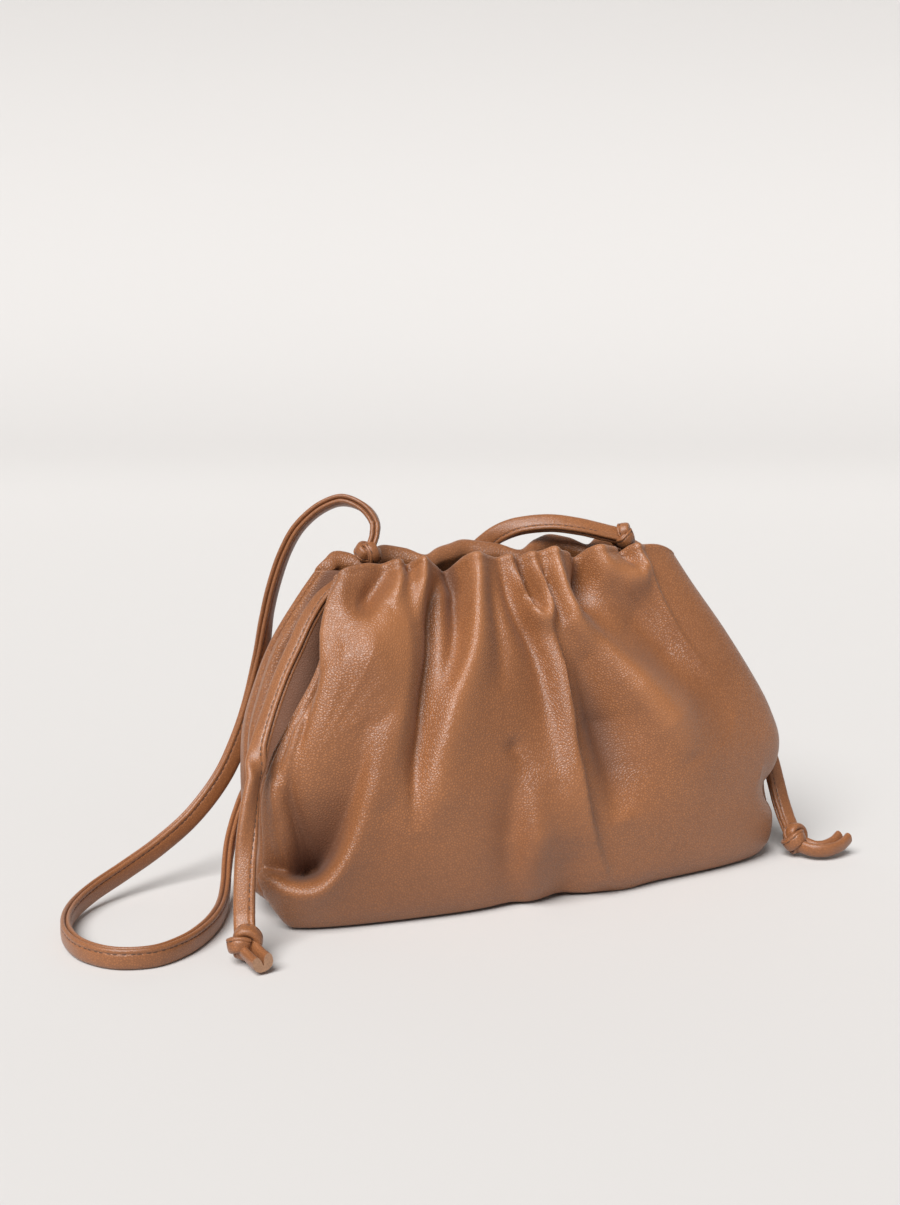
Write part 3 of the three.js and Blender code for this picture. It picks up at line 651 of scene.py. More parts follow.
# Noises of the leather, as scale and detail, and the fibres' detail and roughness
DYE_CLOUD = (14, 3)
DYE_PATCH = (60, 4)
WRINKLE = (420, 1.5)
FIBRE_DETAIL = 4
FIBRE_ROUGHNESS = 0.65
# Ramps, as the range that goes in and the range that comes out. The folds' are in millimetres.
NOISE_RAMP = (0.3, 0.7, 0, 1)
PEBBLE_RAMP = (-0.02, 0.34, 0, 1)
WORN_RAMP = (0.35, 0.75, 0, 0.35)
GRAIN_RAMP = (0, 1, 0.44, 0)
# Lighter fold crests: partly rubbed wear, partly painted highlight
CREST_WEAR_AND_HIGHLIGHT_RAMP = (3, 10, 0, 0.5)
# Painted shade: darkening deep in the sharp folds, where shade falls
FOLD_SHADE_RAMP = (-14, -2, 0.85, 0)
ROUGH_RAMP = (0.25, 0.75, 0.39, 0.46)
DULL_RAMP = (-18, -3, 0.3, 0)
LEATHER_SPECULAR = 0.62
SHEEN_WEIGHT = 0.08
SHEEN_ROUGHNESS = 0.5
WRINKLE_BUMP = 0.3
PEBBLE_BUMP = 0.6
FIBRE_BUMP = 0.5
FIBRE_SHADE = 0.7


def new_material(name):
    """An empty material, with its node tree and its shader."""
    material = bpy.data.materials.new(name)
    material.use_nodes = True
    tree = material.node_tree
    tree.nodes.clear()
    output = tree.nodes.new("ShaderNodeOutputMaterial")
    shader = tree.nodes.new("ShaderNodeBsdfPrincipled")
    tree.links.new(shader.outputs["BSDF"], output.inputs["Surface"])
    return material, tree, shader


def object_place(tree):
    """The place on the object, for a pattern that stays with it."""
    return tree.nodes.new("ShaderNodeTexCoord").outputs["Object"]


def set_sockets(node, **values):
    """Sets sockets by name, with _ for the spaces."""
    for name, value in values.items():
        node.inputs[name.replace("_", " ")].default_value = value


def add_noise(tree, vector, scale, detail, roughness=0.5):
    noise = tree.nodes.new("ShaderNodeTexNoise")
    set_sockets(noise, Scale=scale, Detail=detail, Roughness=roughness)
    tree.links.new(vector, noise.inputs["Vector"])
    return noise.outputs["Fac"]


def add_ramp(tree, value, low, high, first, last):
    """The value from low to high turned into the range first to last."""
    ramp = tree.nodes.new("ShaderNodeMapRange")
    ramp.interpolation_type = "SMOOTHSTEP"
    set_sockets(ramp, From_Min=low, From_Max=high, To_Min=first, To_Max=last)
    tree.links.new(value, ramp.inputs["Value"])
    return ramp.outputs["Result"]


def add_mix(tree, factor, first, second):
    """Two colours mixed; each is a socket or a plain colour."""
    mix = tree.nodes.new("ShaderNodeMix")
    mix.data_type = "RGBA"
    tree.links.new(factor, mix.inputs["Factor"])
    sockets = [socket for socket in mix.inputs if socket.type == "RGBA"]
    for socket, value in zip(sockets, (first, second)):
        if isinstance(value, bpy.types.NodeSocket):
            tree.links.new(value, socket)
        else:
            socket.default_value = (*value, 1)
    return next(socket for socket in mix.outputs if socket.type == "RGBA")


def add_bump(tree, height, strength, distance, normal=None):
    bump = tree.nodes.new("ShaderNodeBump")
    set_sockets(bump, Strength=strength, Distance=distance)
    tree.links.new(height, bump.inputs["Height"])
    if normal is not None:
        tree.links.new(normal, bump.inputs["Normal"])
    return bump.outputs["Normal"]


def leather_material(name, look, grain_size, grain_depth):
    """Dyed nappa leather: fine pebbled grain, cloudy dye, painted shade in the creases, lighter fold crests
    (partly rubbed wear, partly painted highlight) and a soft satin finish.
    """
    material, tree, shader = new_material(name)
    place = object_place(tree)
    cloud = add_noise(tree, place, *DYE_CLOUD)
    patch = add_noise(tree, place, *DYE_PATCH)
    dyed = add_mix(tree, add_ramp(tree, cloud, *NOISE_RAMP), look.dark, look.light)
    cells = tree.nodes.new("ShaderNodeTexVoronoi")
    cells.feature = "DISTANCE_TO_EDGE"
    set_sockets(cells, Scale=1 / grain_size)
    tree.links.new(place, cells.inputs["Vector"])
    pebble = add_ramp(tree, cells.outputs["Distance"], *PEBBLE_RAMP)
    worn = add_mix(tree, add_ramp(tree, patch, *WORN_RAMP), dyed, look.base)
    grained = add_mix(tree, add_ramp(tree, pebble, *GRAIN_RAMP), worn, look.crease)
    mark = tree.nodes.new("ShaderNodeAttribute")
    mark.attribute_name = FOLD_SHADING_MARK
    fold = mark.outputs["Fac"]
    # Lighter crests: partly rubbed wear, partly painted highlight
    rubbed_and_highlit = add_mix(tree, add_ramp(tree, fold, *CREST_WEAR_AND_HIGHLIGHT_RAMP), grained, look.rubbed_and_highlit)
    # Painted shade deep in the sharp folds
    fold_shaded = add_mix(tree, add_ramp(tree, fold, *FOLD_SHADE_RAMP), rubbed_and_highlit, look.crease)
    tree.links.new(fold_shaded, shader.inputs["Base Color"])
    rough = tree.nodes.new("ShaderNodeMath")
    rough.operation = "ADD"
    tree.links.new(add_ramp(tree, patch, *ROUGH_RAMP), rough.inputs[0])
    tree.links.new(add_ramp(tree, fold, *DULL_RAMP), rough.inputs[1])
    tree.links.new(rough.outputs["Value"], shader.inputs["Roughness"])
    set_sockets(shader, Specular_IOR_Level=LEATHER_SPECULAR, Sheen_Weight=SHEEN_WEIGHT,
                Sheen_Roughness=SHEEN_ROUGHNESS)
    wrinkles = add_bump(tree, add_noise(tree, place, *WRINKLE), WRINKLE_BUMP, grain_depth)
    tree.links.new(add_bump(tree, pebble, PEBBLE_BUMP, grain_depth, wrinkles), shader.inputs["Normal"])
    return material


def plain_material(name, values, roughness, scale, depth):
    """A dull fibrous surface, for the lining, thread and raw edges."""
    material, tree, shader = new_material(name)
    fibre = add_noise(tree, object_place(tree), scale, FIBRE_DETAIL, FIBRE_ROUGHNESS)
    darker = [FIBRE_SHADE * v for v in values]
    tree.links.new(add_mix(tree, add_ramp(tree, fibre, *NOISE_RAMP), darker, values),
                   shader.inputs["Base Color"])
    set_sockets(shader, Roughness=roughness)
    tree.links.new(add_bump(tree, fibre, FIBRE_BUMP, depth), shader.inputs["Normal"])
    return material


def bag_materials(look):
    """The bag's materials by name, made once."""
    if "nappa_body" not in bpy.data.materials:
        leather_material("nappa_body", look, grain_size=0.00118, grain_depth=0.0002)
        leather_material("nappa_strap", look, grain_size=0.001, grain_depth=0.0001)
        plain_material("lining", look.lining, roughness=0.85, scale=900, depth=0.0002)
        plain_material("thread", look.thread, roughness=0.6, scale=3000, depth=0.00005)
        plain_material("raw_edge", look.raw_edge, roughness=0.9, scale=1500, depth=0.0003)
    return bpy.data.materials


# Settings

class BodySizes(bpy.types.PropertyGroup):
    """Sizes of the leather panels."""

    leather: FloatProperty(name="Leather", description="Thickness of the body's leather", default=0.0016,
                           unit="LENGTH")


class StrapSizes(bpy.types.PropertyGroup):
    """Sizes of the folded strap and its stitching."""

    width: FloatProperty(name="Width", description="Width of the folded strap", default=0.0093, unit="LENGTH")
    thickness: FloatProperty(name="Thickness", description="Thickness of the folded strap", default=0.0045,
                             unit="LENGTH")
    stitch_pitch: FloatProperty(name="Stitch pitch", description="Distance from stitch to stitch",
                                default=0.0031, unit="LENGTH")
    stitch_length: FloatProperty(name="Stitch length", description="Length of the thread that shows",
                                 default=0.0022, unit="LENGTH")
    stitch_width: FloatProperty(name="Stitch width", description="Thickness of the thread", default=0.0007,
                                unit="LENGTH")


class LeatherLook(bpy.types.PropertyGroup):
    """Colours of the leather, thread and lining."""

    base: FloatVectorProperty(name="Leather", description="Main colour of the leather", subtype="COLOR",
                              default=(0.315, 0.116, 0.037))
    light: FloatVectorProperty(name="Light leather", description="Leather where the dye is thin",
                               subtype="COLOR", default=(0.345, 0.13, 0.0425))
    dark: FloatVectorProperty(name="Dark leather", description="Leather where the dye is thick",
                              subtype="COLOR", default=(0.262, 0.094, 0.0285))
    # Painted shade: this dark colour is painted into the deep folds where shade falls; it also darkens the
    # lines of the grain
    crease: FloatVectorProperty(name="Creased leather", description="Leather deep in a fold", subtype="COLOR",
                                default=(0.1, 0.032, 0.01))
    # Lighter colour on the fold crests: partly rubbed wear, partly painted highlight
    rubbed_and_highlit: FloatVectorProperty(name="Rubbed leather", description="Leather on the crest of a fold",
                                subtype="COLOR", default=(0.39, 0.15, 0.051))
    lining: FloatVectorProperty(name="Lining", description="Flesh side of the leather", subtype="COLOR",
                                default=(0.2, 0.1, 0.055))
    # The thread's dark brown is partly the thread's own colour and partly painted shade of the stitch holes
    # sunk in the leather
    thread: FloatVectorProperty(name="Thread", description="Sewing thread", subtype="COLOR",
                                default=(0.1, 0.045, 0.025))
    raw_edge: FloatVectorProperty(name="Raw edge", description="Cut edges of the strap", subtype="COLOR",
                                  default=(0.42, 0.235, 0.14))


class StageLook(bpy.types.PropertyGroup):
    """Floor, light and camera."""

    floor: FloatVectorProperty(name="Floor", description="Colour of the floor", subtype="COLOR",
                               default=(0.605, 0.587, 0.572))
    backdrop: FloatVectorProperty(name="Backdrop", description="Colour of the backdrop", subtype="COLOR",
                                  default=(0.505, 0.49, 0.478))
    ambient: FloatProperty(name="Ambient", description="Strength of the light from all round", default=0.2)
    key: FloatProperty(name="Key light", description="Strength of the soft light on the left", default=4.6)
    softness: FloatProperty(name="Softness", description="How wide the soft light is", subtype="ANGLE",
                            default=math.radians(38))
    fill: FloatProperty(name="Fill light", description="Strength of the low light on the right", default=0.2)
    fill_softness: FloatProperty(name="Fill softness", description="How wide the fill light is",
                                 subtype="ANGLE", default=math.radians(60))
    lens: FloatProperty(name="Lens", description="Focal length of the camera", default=52.3, unit="CAMERA")


class PouchSettings(bpy.types.PropertyGroup):
    """All settings of the pouch bag."""

    body: PointerProperty(type=BodySizes)
    strap: PointerProperty(type=StrapSizes)
    look: PointerProperty(type=LeatherLook)
    stage: PointerProperty(type=StageLook)


# Stage

CAMERA_PLACE = Vector((-0.3731, -0.7361, 0.2754))
CAMERA_YAW = math.radians(25)
CAMERA_PITCH = math.radians(9.8)
CLIP_START = 0.05
CLIP_END = 60
# The ways that the lights shine
KEY_WAY = (0.51, 0.4, -0.76)
FILL_WAY = (-0.5, 0.84, -0.2)
AMBIENT_COLOUR = (1, 0.985, 0.97, 1)
# The floor's grid, its reach before and behind the bag, its width and its bend up into the backdrop
FLOOR_COLUMNS = 8
FLOOR_ROWS = 40
FLOOR_REACH = 4.0
FLOOR_WIDTH = 12.0
BACKDROP_BEND = 1.5
BACKDROP_HEIGHT = 3.0
# Ramp of depth from the floor's colour to the backdrop's
BACKDROP_RAMP = (1.5, 3.1, 0, 1)
FLOOR_ROUGHNESS = 0.9
FLOOR_SPECULAR = 0.2


def aim(yaw, pitch):
    """The way a camera looks that is turned by yaw from +Y towards +X and tilted down by pitch."""
    return Vector((math.sin(yaw) * math.cos(pitch), math.cos(yaw) * math.cos(pitch), -math.sin(pitch)))


class POUCH_OT_stage(bpy.types.Operator):
    """Places the camera, floor, backdrop and soft studio light"""

    bl_idname = "pouch.stage"
    bl_label = "Stage"

    def execute(self, context):
        look = context.scene.pouch.stage
        camera = bpy.data.objects.new("camera", bpy.data.cameras.new("camera"))
        context.scene.collection.objects.link(camera)
        camera.data.lens = look.lens
        camera.location = CAMERA_PLACE
        camera.rotation_euler = aim(CAMERA_YAW, CAMERA_PITCH).to_track_quat("-Z", "Y").to_euler()
        camera.data.clip_start = CLIP_START
        camera.data.clip_end = CLIP_END
        context.scene.camera = camera
        self.add_floor(look)
        self.add_lights(context.scene, look)
        return {"FINISHED"}

    def add_floor(self, look):
        """A floor that bends up into a backdrop behind the bag, seen from the camera."""
        floor, column, row = add_grid("floor", FLOOR_COLUMNS, FLOOR_ROWS)
        reach = (row / FLOOR_ROWS) * (2 * FLOOR_REACH + BACKDROP_HEIGHT) - FLOOR_REACH
        beyond = np.clip(reach - (FLOOR_REACH - BACKDROP_BEND), 0, None)
        angle = np.clip(beyond / BACKDROP_BEND, 0, math.pi / 2)
        rest = np.clip(beyond - BACKDROP_BEND * math.pi / 2, 0, None)
        deep = np.minimum(reach, FLOOR_REACH - BACKDROP_BEND) + BACKDROP_BEND * np.sin(angle)
        high = BACKDROP_BEND * (1 - np.cos(angle)) + rest
        wide = (column / FLOOR_COLUMNS - 0.5) * FLOOR_WIDTH
        along = np.array(aim(CAMERA_YAW, 0))
        right = np.array((math.cos(CAMERA_YAW), -math.sin(CAMERA_YAW), 0))
        up = np.array((0, 0, 1))
        move_points(floor, deep[:, None] * along + wide[:, None] * right + high[:, None] * up)
        shade_smooth(floor)
        material, tree, shader = new_material("floor_paper")
        set_sockets(shader, Roughness=FLOOR_ROUGHNESS, Specular_IOR_Level=FLOOR_SPECULAR)
        depth = tree.nodes.new("ShaderNodeVectorMath")
        depth.operation = "DOT_PRODUCT"
        depth.inputs[1].default_value = along
        tree.links.new(object_place(tree), depth.inputs[0])
        tone = add_ramp(tree, depth.outputs["Value"], *BACKDROP_RAMP)
        tree.links.new(add_mix(tree, tone, look.floor, look.backdrop), shader.inputs["Base Color"])
        floor.data.materials.append(material)

    def add_lights(self, scene, look):
        world = bpy.data.worlds.new("studio")
        world.use_nodes = True
        set_sockets(world.node_tree.nodes["Background"], Color=AMBIENT_COLOUR, Strength=look.ambient)
        scene.world = world
        for name, energy, softness, way in (("key", look.key, look.softness, KEY_WAY),
                                            ("fill", look.fill, look.fill_softness, FILL_WAY)):
            light = bpy.data.lights.new(name, "SUN")
            light.energy = energy
            light.angle = softness
            lamp = bpy.data.objects.new(name, light)
            scene.collection.objects.link(lamp)
            lamp.rotation_euler = Vector(way).to_track_quat("-Z", "Y").to_euler()
        scene.view_settings.view_transform = "Standard"


# Knots

KNOTS = (
    # node, centre, axis, size, angle in degrees at which the strap comes in
    ("left_stopper_knot", (-0.07, 0.003, 0.1605), (0.62, 0.1, 0.78), 0.85, 150),
    ("right_stopper_knot", (0.0665, 0.003, 0.1605), (1, -0.05, -0.2), 0.9, 60),
    ("left_end_knot", (-0.155, -0.0645, 0.0092), (0.15, -0.85, -0.5), 1, 100),
    ("right_end_knot", (0.1415, -0.0425, 0.0092), (0.75, -0.62, -0.16), 1, 100),
)
# Radius of a knot of size 1, how far its band swings out and along the axis, how it is wound, and how far
# its ends tuck in over the last share of its length
KNOT_RADIUS = 0.0042
KNOT_SWELL = 0.0017
KNOT_RISE = 0.003
KNOT_WAVES = 1.5
KNOT_SWEEP = 680
KNOT_STEPS = 150
KNOT_TUCK = 0.002
KNOT_TUCK_START = 0.85
# The knot's core, the neck of the strap, the wound band and the cut end
CORE_SHARE = 0.95
CORE_STRETCH = 1.35
CORE_SEGMENTS = 24
CORE_RINGS = 16
NECK_SHARE = 0.985
BAND_WIDTH = 0.0068
BAND_THICKNESS = 0.0036
CUT_WIDTH = 0.0074
CUT_THICKNESS = 0.0092
SIDE_CORNERS = 4


class POUCH_OT_knots(bpy.types.Operator):
    """Ties the knots: the strap wound round a core, with the necks of the straps and the cut ends"""

    bl_idname = "pouch.knots"
    bl_label = "Knots"

    def execute(self, context):
        settings = context.scene.pouch
        materials = bag_materials(settings.look)
        necks = {"left_stopper_knot": SHOULDER_STRAP[1::-1], "right_stopper_knot": SHOULDER_STRAP[-2:],
                 "left_end_knot": LEFT_TAIL[-2:], "right_end_knot": RIGHT_TAIL[-2:]}
        cut_ends = {"left_end_knot": LEFT_CUT_END, "right_end_knot": RIGHT_CUT_END}
        for node, centre, axis, size, start in KNOTS:
            wound, stitches = self.band(node, centre, axis, size, start, settings.strap)
            core = self.core(centre, axis, size)
            neck = self.neck(node, necks[node], centre, settings.strap)
            parts = [core, wound, neck]
            if node in cut_ends:
                parts.append(self.cut_end(node, cut_ends[node]))
            for part in parts:
                part.data.materials.append(materials["nappa_strap"])
            if node in cut_ends:
                self.bare_end(parts[-1], materials["raw_edge"])
            stitches.data.materials.append(materials["thread"])
            knot = join(f"{node}_tied", [*parts, stitches])
            shade_smooth(knot)
            finish_piece(knot, [node])
        return {"FINISHED"}

    def core(self, centre, axis, size):
        """The lump of strap inside a knot."""
        deselect()
        bpy.ops.mesh.primitive_uv_sphere_add(segments=CORE_SEGMENTS, ring_count=CORE_RINGS,
                                             radius=size * KNOT_RADIUS * CORE_SHARE)
        core = bpy.context.active_object
        turn = Vector(axis).to_track_quat("Z", "Y").to_matrix().to_4x4()
        core.data.transform(Matrix.Translation(centre) @ turn @ Matrix.Diagonal((1, 1, CORE_STRETCH, 1)))
        return core

    def band(self, name, centre, axis, size, start, sizes):
        """The strap wound twice round the knot's axis, crossing over itself, and its stitches."""
        along = np.array(Vector(axis).normalized())
        across = unit(np.cross(along, (0.0, 0.0, 1.0)))
        up = np.cross(across, along)
        angle = np.radians(np.linspace(start, start + KNOT_SWEEP, KNOT_STEPS))
        wave = KNOT_WAVES * angle
        tuck = KNOT_TUCK * smoothstep(np.abs(np.linspace(-1, 1, KNOT_STEPS)), KNOT_TUCK_START, 1)
        reach = size * (KNOT_RADIUS + KNOT_SWELL * np.cos(wave) - tuck)
        rise = size * KNOT_RISE * np.sin(wave)
        spokes = across * np.cos(angle)[:, None] + up * np.sin(angle)[:, None]
        out = spokes * reach[:, None] + along * rise[:, None]
        line = np.array(centre) + out
        tangents = unit(np.gradient(line, axis=0))
        route = Route(line, tangents, unit(np.cross(out, tangents)))
        width = size * BAND_WIDTH
        thickness = size * BAND_THICKNESS
        wound = sweep(name, route, STRAP_HALF_SECTION, width, thickness)
        return wound, add_stitches(f"{name}_stitches", route, sizes, width, thickness, (1,))

    def neck(self, name, rows, centre, sizes):
        """The last of a strap, from just inside its end into the knot."""
        route, _length = smooth_route((*rows, (*centre, *rows[-1][3:])))
        return sweep(name, route, STRAP_HALF_SECTION, NECK_SHARE * sizes.width, NECK_SHARE * sizes.thickness)

    def cut_end(self, name, rows):
        route, _length = smooth_route(rows)
        return sweep(name, route, CUT_HALF_SECTION, CUT_WIDTH, CUT_THICKNESS)

    def bare_end(self, piece, material):
        """The raw leather on the cut face, which has more corners than the faces along the sides."""
        piece.data.materials.append(material)
        for polygon in piece.data.polygons:
            polygon.material_index = int(len(polygon.vertices) > SIDE_CORNERS)


class POUCH_OT_straps(bpy.types.Operator):
    """Makes the shoulder strap and both tails, folded, grooved and stitched"""

    bl_idname = "pouch.straps"
    bl_label = "Straps"

    def execute(self, context):
        settings = context.scene.pouch
        sizes = settings.strap
        materials = bag_materials(settings.look)
        table = (
            # node, route, what its far end meets, knots that go with it
            ("shoulder_strap", SHOULDER_STRAP, "object",
             ("left_stopper_knot_tied", "right_stopper_knot_tied")),
            ("left_tail", LEFT_TAIL, "knot", ("left_end_knot_tied",)),
            ("right_tail", RIGHT_TAIL, "knot", ("right_end_knot_tied",)),
        )
        for node, rows, far_end, knots in table:
            route, length = smooth_route(rows)
            strap = sweep(f"{node}_folded", route, STRAP_HALF_SECTION, sizes.width, sizes.thickness)
            strap.data.materials.append(materials["nappa_strap"])
            shade_smooth(strap)
            finish_piece(strap, [node])
            stitches = add_stitches(f"{node}_stitches", route, sizes, sizes.width, sizes.thickness)
            stitches.data.materials.append(materials["thread"])
            shade_smooth(stitches)
            finish_piece(stitches)
        return {"FINISHED"}


# Body

def panel_rows():
    """Rows of a panel as height, distance in at the foot, and angle round the rolled rim."""
    rows = [(height, FOOT_TURN + reach, 0) for height, reach in FOOT_LIP]
    for angle in np.radians(np.linspace(0, FOOT_ARC, FOOT_ROWS)):
        rows.append((FOOT_TURN * (1 - math.cos(angle)), FOOT_TURN * (1 - math.sin(angle)), 0))
    low = int((LOW_REACH - FOOT_TURN) / LOW_ROW)
    high = int((RIM_START - LOW_REACH) / WALL_ROW)
    rows += [(z, 0, 0) for z in np.linspace(FOOT_TURN, LOW_REACH, low)]
    rows += [(z, 0, 0) for z in np.linspace(LOW_REACH + WALL_ROW, RIM_START, high)]
    roll = np.linspace(math.radians(RIM_FIRST_ANGLE), math.pi, RIM_ROWS)
    rows += [(RIM_START, 0, angle) for angle in roll]
    rows += [(RIM_START - depth, 0, math.pi) for depth in np.linspace(HEM_FIRST, HEM_DEPTH, HEM_ROWS)]
    return np.array(rows)


def panel_columns(count):
    """Places of a panel's columns on its flat leather, closer together at the side seams."""
    share = np.linspace(0, 1, count + 1)
    return np.interp(share, (0, EDGE_SHARE, 1 - EDGE_SHARE, 1),
                     (-FLAT_HALF, EDGE_REACH - FLAT_HALF, FLAT_HALF - EDGE_REACH, FLAT_HALF))


def gathered_height(folds, across, height):
    """How far the folds move the leather out, rounded off towards the rim."""
    spread = RIM_SOFT * smoothstep(height, RIM_SOFT_START, RIM_START)
    return np.mean([fold_height(folds, across + way * spread, height) for way in (-1, 0, 1)], axis=0)


def seam_turn(distance):
    """How far leather turns in at a distance from its seam."""
    near = np.clip(SEAM_TURN - distance, 0, SEAM_TURN)
    return SEAM_TURN - np.sqrt(SEAM_TURN**2 - near**2)


def folded_panel(side, folds, across, height, angle=0.0):
    """Points of a panel with its folds, in millimetres; angle is the place round the rolled rim."""
    seam_fade = smoothstep(FLAT_HALF - np.abs(across), 0, SEAM_FADE)
    foot_fade = FOOT_FOLD + (1 - FOOT_FOLD) * smoothstep(height, 0, FOOT_FADE)
    raised = gathered_height(folds, across, height) * seam_fade * foot_fade
    middle = smoothstep(FLAT_HALF - np.abs(across), 0, RIM_END_FADE)
    half = RIM_END_ROLL + (RIM_ROLL - RIM_END_ROLL) * middle + RIM_FOLLOW * raised / 2
    half = np.maximum(half, RIM_THIN / 2)
    points = plain_panel(side, across, height)
    seam = section(f"{SIDE_NAMES[side]}_seam", height)
    turned = seam_turn(np.abs(points[:, 1]) - seam)
    sag = SAG * np.minimum(raised, 0) * smoothstep(SAG_TOP - height, 0, SAG_FADE)
    out = raised - half * (1 - np.cos(angle))
    points = points + outward(side, partial(plain_panel, side), across, height) * out[:, None]
    points[:, 0] -= np.sign(across) * turned
    wave = RIM_WAVE * np.minimum(raised, 0) * smoothstep(height, RIM_WAVE_START, RIM_START)
    points[:, 2] += half * np.sin(angle) + sag * smoothstep(height, 0, SAG_FOOT) + wave
    return points


def panel_points(side, folds, across, height, inset, angle):
    """Finished points of a panel, rolled in at the rim and turned under at the foot."""
    points = folded_panel(side, folds, across, height, angle)
    turned = np.flatnonzero(inset)
    facing = outward(side, partial(folded_panel, side, folds), across[turned], height[turned])
    points[turned] -= facing * inset[turned, None]
    return points


def finish_leather(piece, settings, node):
    """Gives a leather piece its grain and lining, its thickness and its place on the bag."""
    materials = bag_materials(settings.look)
    piece.data.materials.append(materials["nappa_body"])
    piece.data.materials.append(materials["lining"])
    add_modifier(piece, "SOLIDIFY", thickness=settings.body.leather, offset=-1, material_offset=1)
    shade_smooth(piece)
    finish_piece(piece, [node])


class POUCH_OT_panels(bpy.types.Operator):
    """Makes the front and back panels, gathered at the mouth and turned in at the rim"""

    bl_idname = "pouch.panels"
    bl_label = "Panels"

    def execute(self, context):
        rows = panel_rows()
        for node, side, folds, count in (("front_panel", -1, FRONT_FOLDS, FRONT_COLUMNS),
                                         ("back_panel", 1, BACK_FOLDS, BACK_COLUMNS)):
            piece, column, row = add_grid(f"{node}_leather", count, len(rows) - 1)
            across = panel_columns(count)[column] * -side
            points = panel_points(side, folds, across, *rows[row].T)
            move_points(piece, points * MM)
            # Painted shade and painted highlight: the colour follows the heights of the sharp folds
            sharp = [fold for fold in folds if is_sharp(fold)]
            mark_fold_shading(piece, fold_height(sharp, across, rows[row, 0]))
            finish_leather(piece, context.scene.pouch, node)
        return {"FINISHED"}


def gusset_points(hand, across, height, inset, angle):
    """Points of a gusset's outer face, and how far its folds and tuck move them.

    hand is -1 for the left and 1 for the right, and across runs from the front seam (-1) to the back (1).
    """
    word = HAND_NAMES[hand]
    blend = (across + 1) / 2
    front = SEAM_GAP - section("front_seam", height)
    back = section("back_seam", height) - SEAM_GAP
    y = front + (back - front) * blend
    front_side = section(f"front_{word}", height)
    back_side = section(f"back_{word}", height)
    side = front_side + (back_side - front_side) * smoothstep(blend, 0, 1)
    tuck = section("tuck", height) * smoothstep(1 - np.abs(across), 0, TUCK_FLANK)
    edge = np.minimum(y - front, back - y)
    folds = fold_height(GUSSET_FOLDS, across * GUSSET_FLAT_HALF, height)
    raised = folds * smoothstep(edge, 0, GUSSET_SEAM_FADE) - tuck
    roll = RIM_END_ROLL * (1 - np.cos(angle))
    x = side - hand * (seam_turn(edge) + inset + roll - raised)
    drop = RIM_DROP * (height / RIM_HEIGHT) ** RIM_DROP_CURVE
    rise = RIM_END_ROLL * np.sin(angle)
    return np.stack([x, y, height + lift(hand * FLAT_HALF, height) + rise - drop], -1), raised


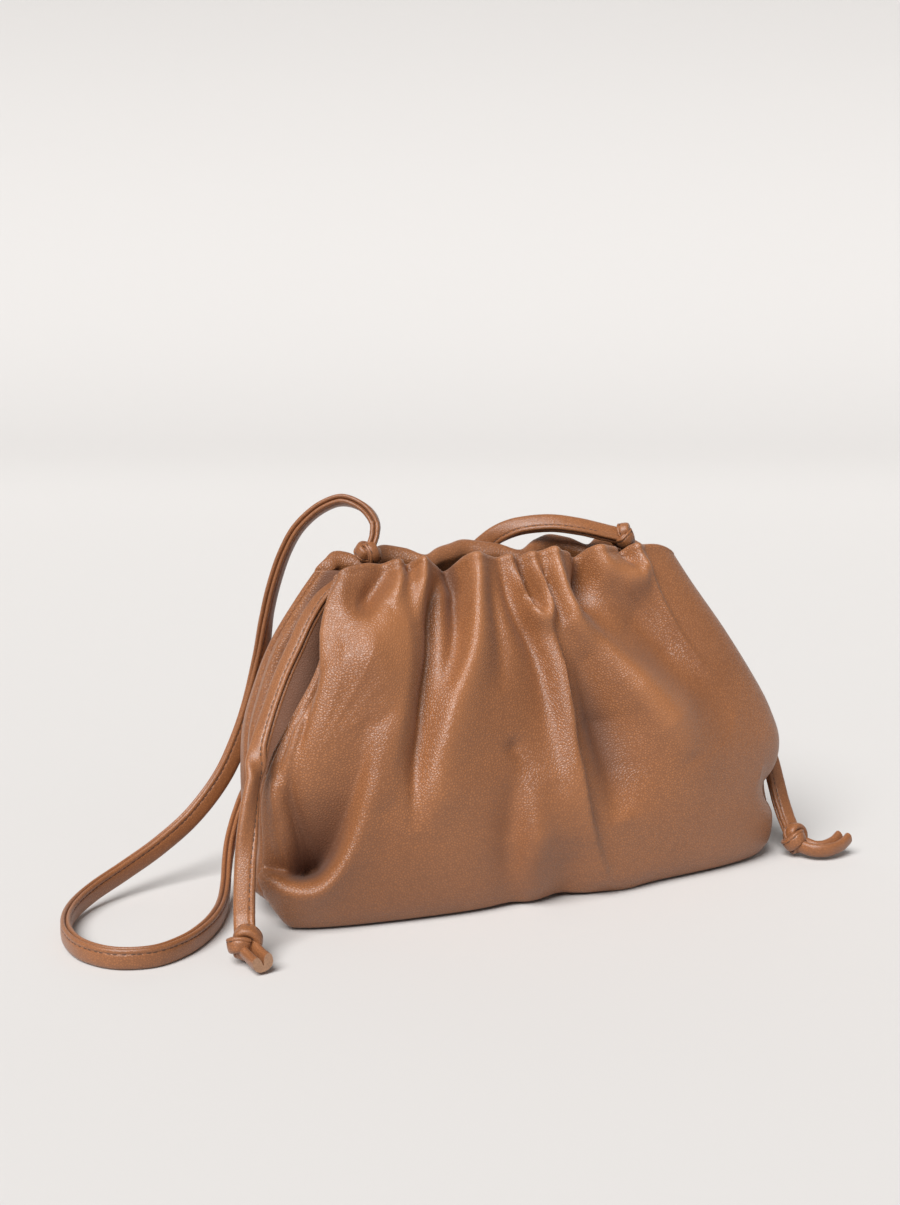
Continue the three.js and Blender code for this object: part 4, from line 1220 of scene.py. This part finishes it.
class POUCH_OT_gussets(bpy.types.Operator):
    """Makes the tucked gussets of both sides"""

    bl_idname = "pouch.gussets"
    bl_label = "Gussets"

    def execute(self, context):
        rows = panel_rows()
        for node, hand in (("left_gusset", -1), ("right_gusset", 1)):
            piece, column, row = add_grid(f"{node}_leather", GUSSET_COLUMNS, len(rows) - 1)
            across = (2 * column / GUSSET_COLUMNS - 1) * hand
            points, raised = gusset_points(hand, across, *rows[row].T)
            move_points(piece, points * MM)
            # Painted shade on the tucked gusset, three times as strong as on the panels
            mark_fold_shading(piece, GUSSET_PAINTED_SHADE * raised)
            self.cut_slit(piece, hand)
            finish_leather(piece, context.scene.pouch, node)
        return {"FINISHED"}

    def cut_slit(self, piece, hand):
        """Opens the slit below the rim through which the tail leaves the bag."""
        rows = LEFT_TAIL if hand < 0 else RIGHT_TAIL
        middle = Vector(rows[1][:3])
        way = (Vector(rows[2][:3]) - Vector(rows[0][:3])).normalized()
        wide = Vector(rows[1][3:])
        high = way.cross(wide)

        def place(vertex):
            away = vertex.co - middle
            return Vector((away.dot(wide) / SLIT_WIDTH, away.dot(high) / SLIT_HEIGHT)) * 2

        leather = bmesh.new()
        leather.from_mesh(piece.data)
        inside = [v for v in leather.verts if v.co.z < SLIT_TOP and place(v).length < 1]
        bmesh.ops.delete(leather, geom=inside, context="VERTS")
        for vertex in leather.verts:
            spot = place(vertex)
            if vertex.is_boundary and spot.length < SLIT_SNAP and vertex.co.z < SLIT_TOP:
                to_edge = (1 / spot.length - 1) / 2
                vertex.co += (wide * spot.x * SLIT_WIDTH + high * spot.y * SLIT_HEIGHT) * to_edge
        leather.to_mesh(piece.data)
        leather.free()


class POUCH_OT_base(bpy.types.Operator):
    """Makes the flat base, turned up into its seam all round"""

    bl_idname = "pouch.base"
    bl_label = "Base"

    def execute(self, context):
        piece, column, row = add_grid("base_panel_leather", BASE_COLUMNS, BASE_ROWS)
        across = (2 * column / BASE_COLUMNS - 1) * -FLAT_HALF
        blend = row / BASE_ROWS
        ground = np.zeros(len(across))
        front = plain_panel(-1, across, ground)
        back = plain_panel(1, across, ground)
        front[:, 1] += BASE_EDGE
        back[:, 1] -= BASE_EDGE
        points = front + (back - front) * blend[:, None]
        points[:, 0] *= 1 - BASE_EDGE / FLAT_HALF
        rim = np.minimum(blend, 1 - blend) * (back - front)[:, 1]
        points[:, 2] = lift(across, ground) + BASE_RISE + seam_turn(rim)
        move_points(piece, points * MM)
        finish_leather(piece, context.scene.pouch, "base_panel")
        return {"FINISHED"}


class POUCH_PT_sidebar(bpy.types.Panel):
    """Lists the pieces of the bag"""

    bl_label = "Pouch"
    bl_idname = "POUCH_PT_sidebar"
    bl_space_type = "VIEW_3D"
    bl_region_type = "UI"
    bl_category = "Pouch"

    def draw(self, context):
        for operator in OPERATORS:
            self.layout.operator(operator.bl_idname)


SETTINGS = (BodySizes, StrapSizes, LeatherLook, StageLook, PouchSettings)
OPERATORS = (POUCH_OT_stage, POUCH_OT_knots, POUCH_OT_straps, POUCH_OT_panels, POUCH_OT_gussets,
             POUCH_OT_base)


def register():
    for each in (*SETTINGS, *OPERATORS, POUCH_PT_sidebar):
        bpy.utils.register_class(each)
    bpy.types.Scene.pouch = PointerProperty(type=PouchSettings)


def unregister():
    del bpy.types.Scene.pouch
    for each in reversed((*SETTINGS, *OPERATORS, POUCH_PT_sidebar)):
        bpy.utils.unregister_class(each)


def main():
    register()
    bpy.ops.pouch.stage()
    bpy.ops.pouch.knots()
    bpy.ops.pouch.straps()
    bpy.ops.pouch.panels()
    bpy.ops.pouch.gussets()
    bpy.ops.pouch.base()


if __name__ == "__main__":
    main()
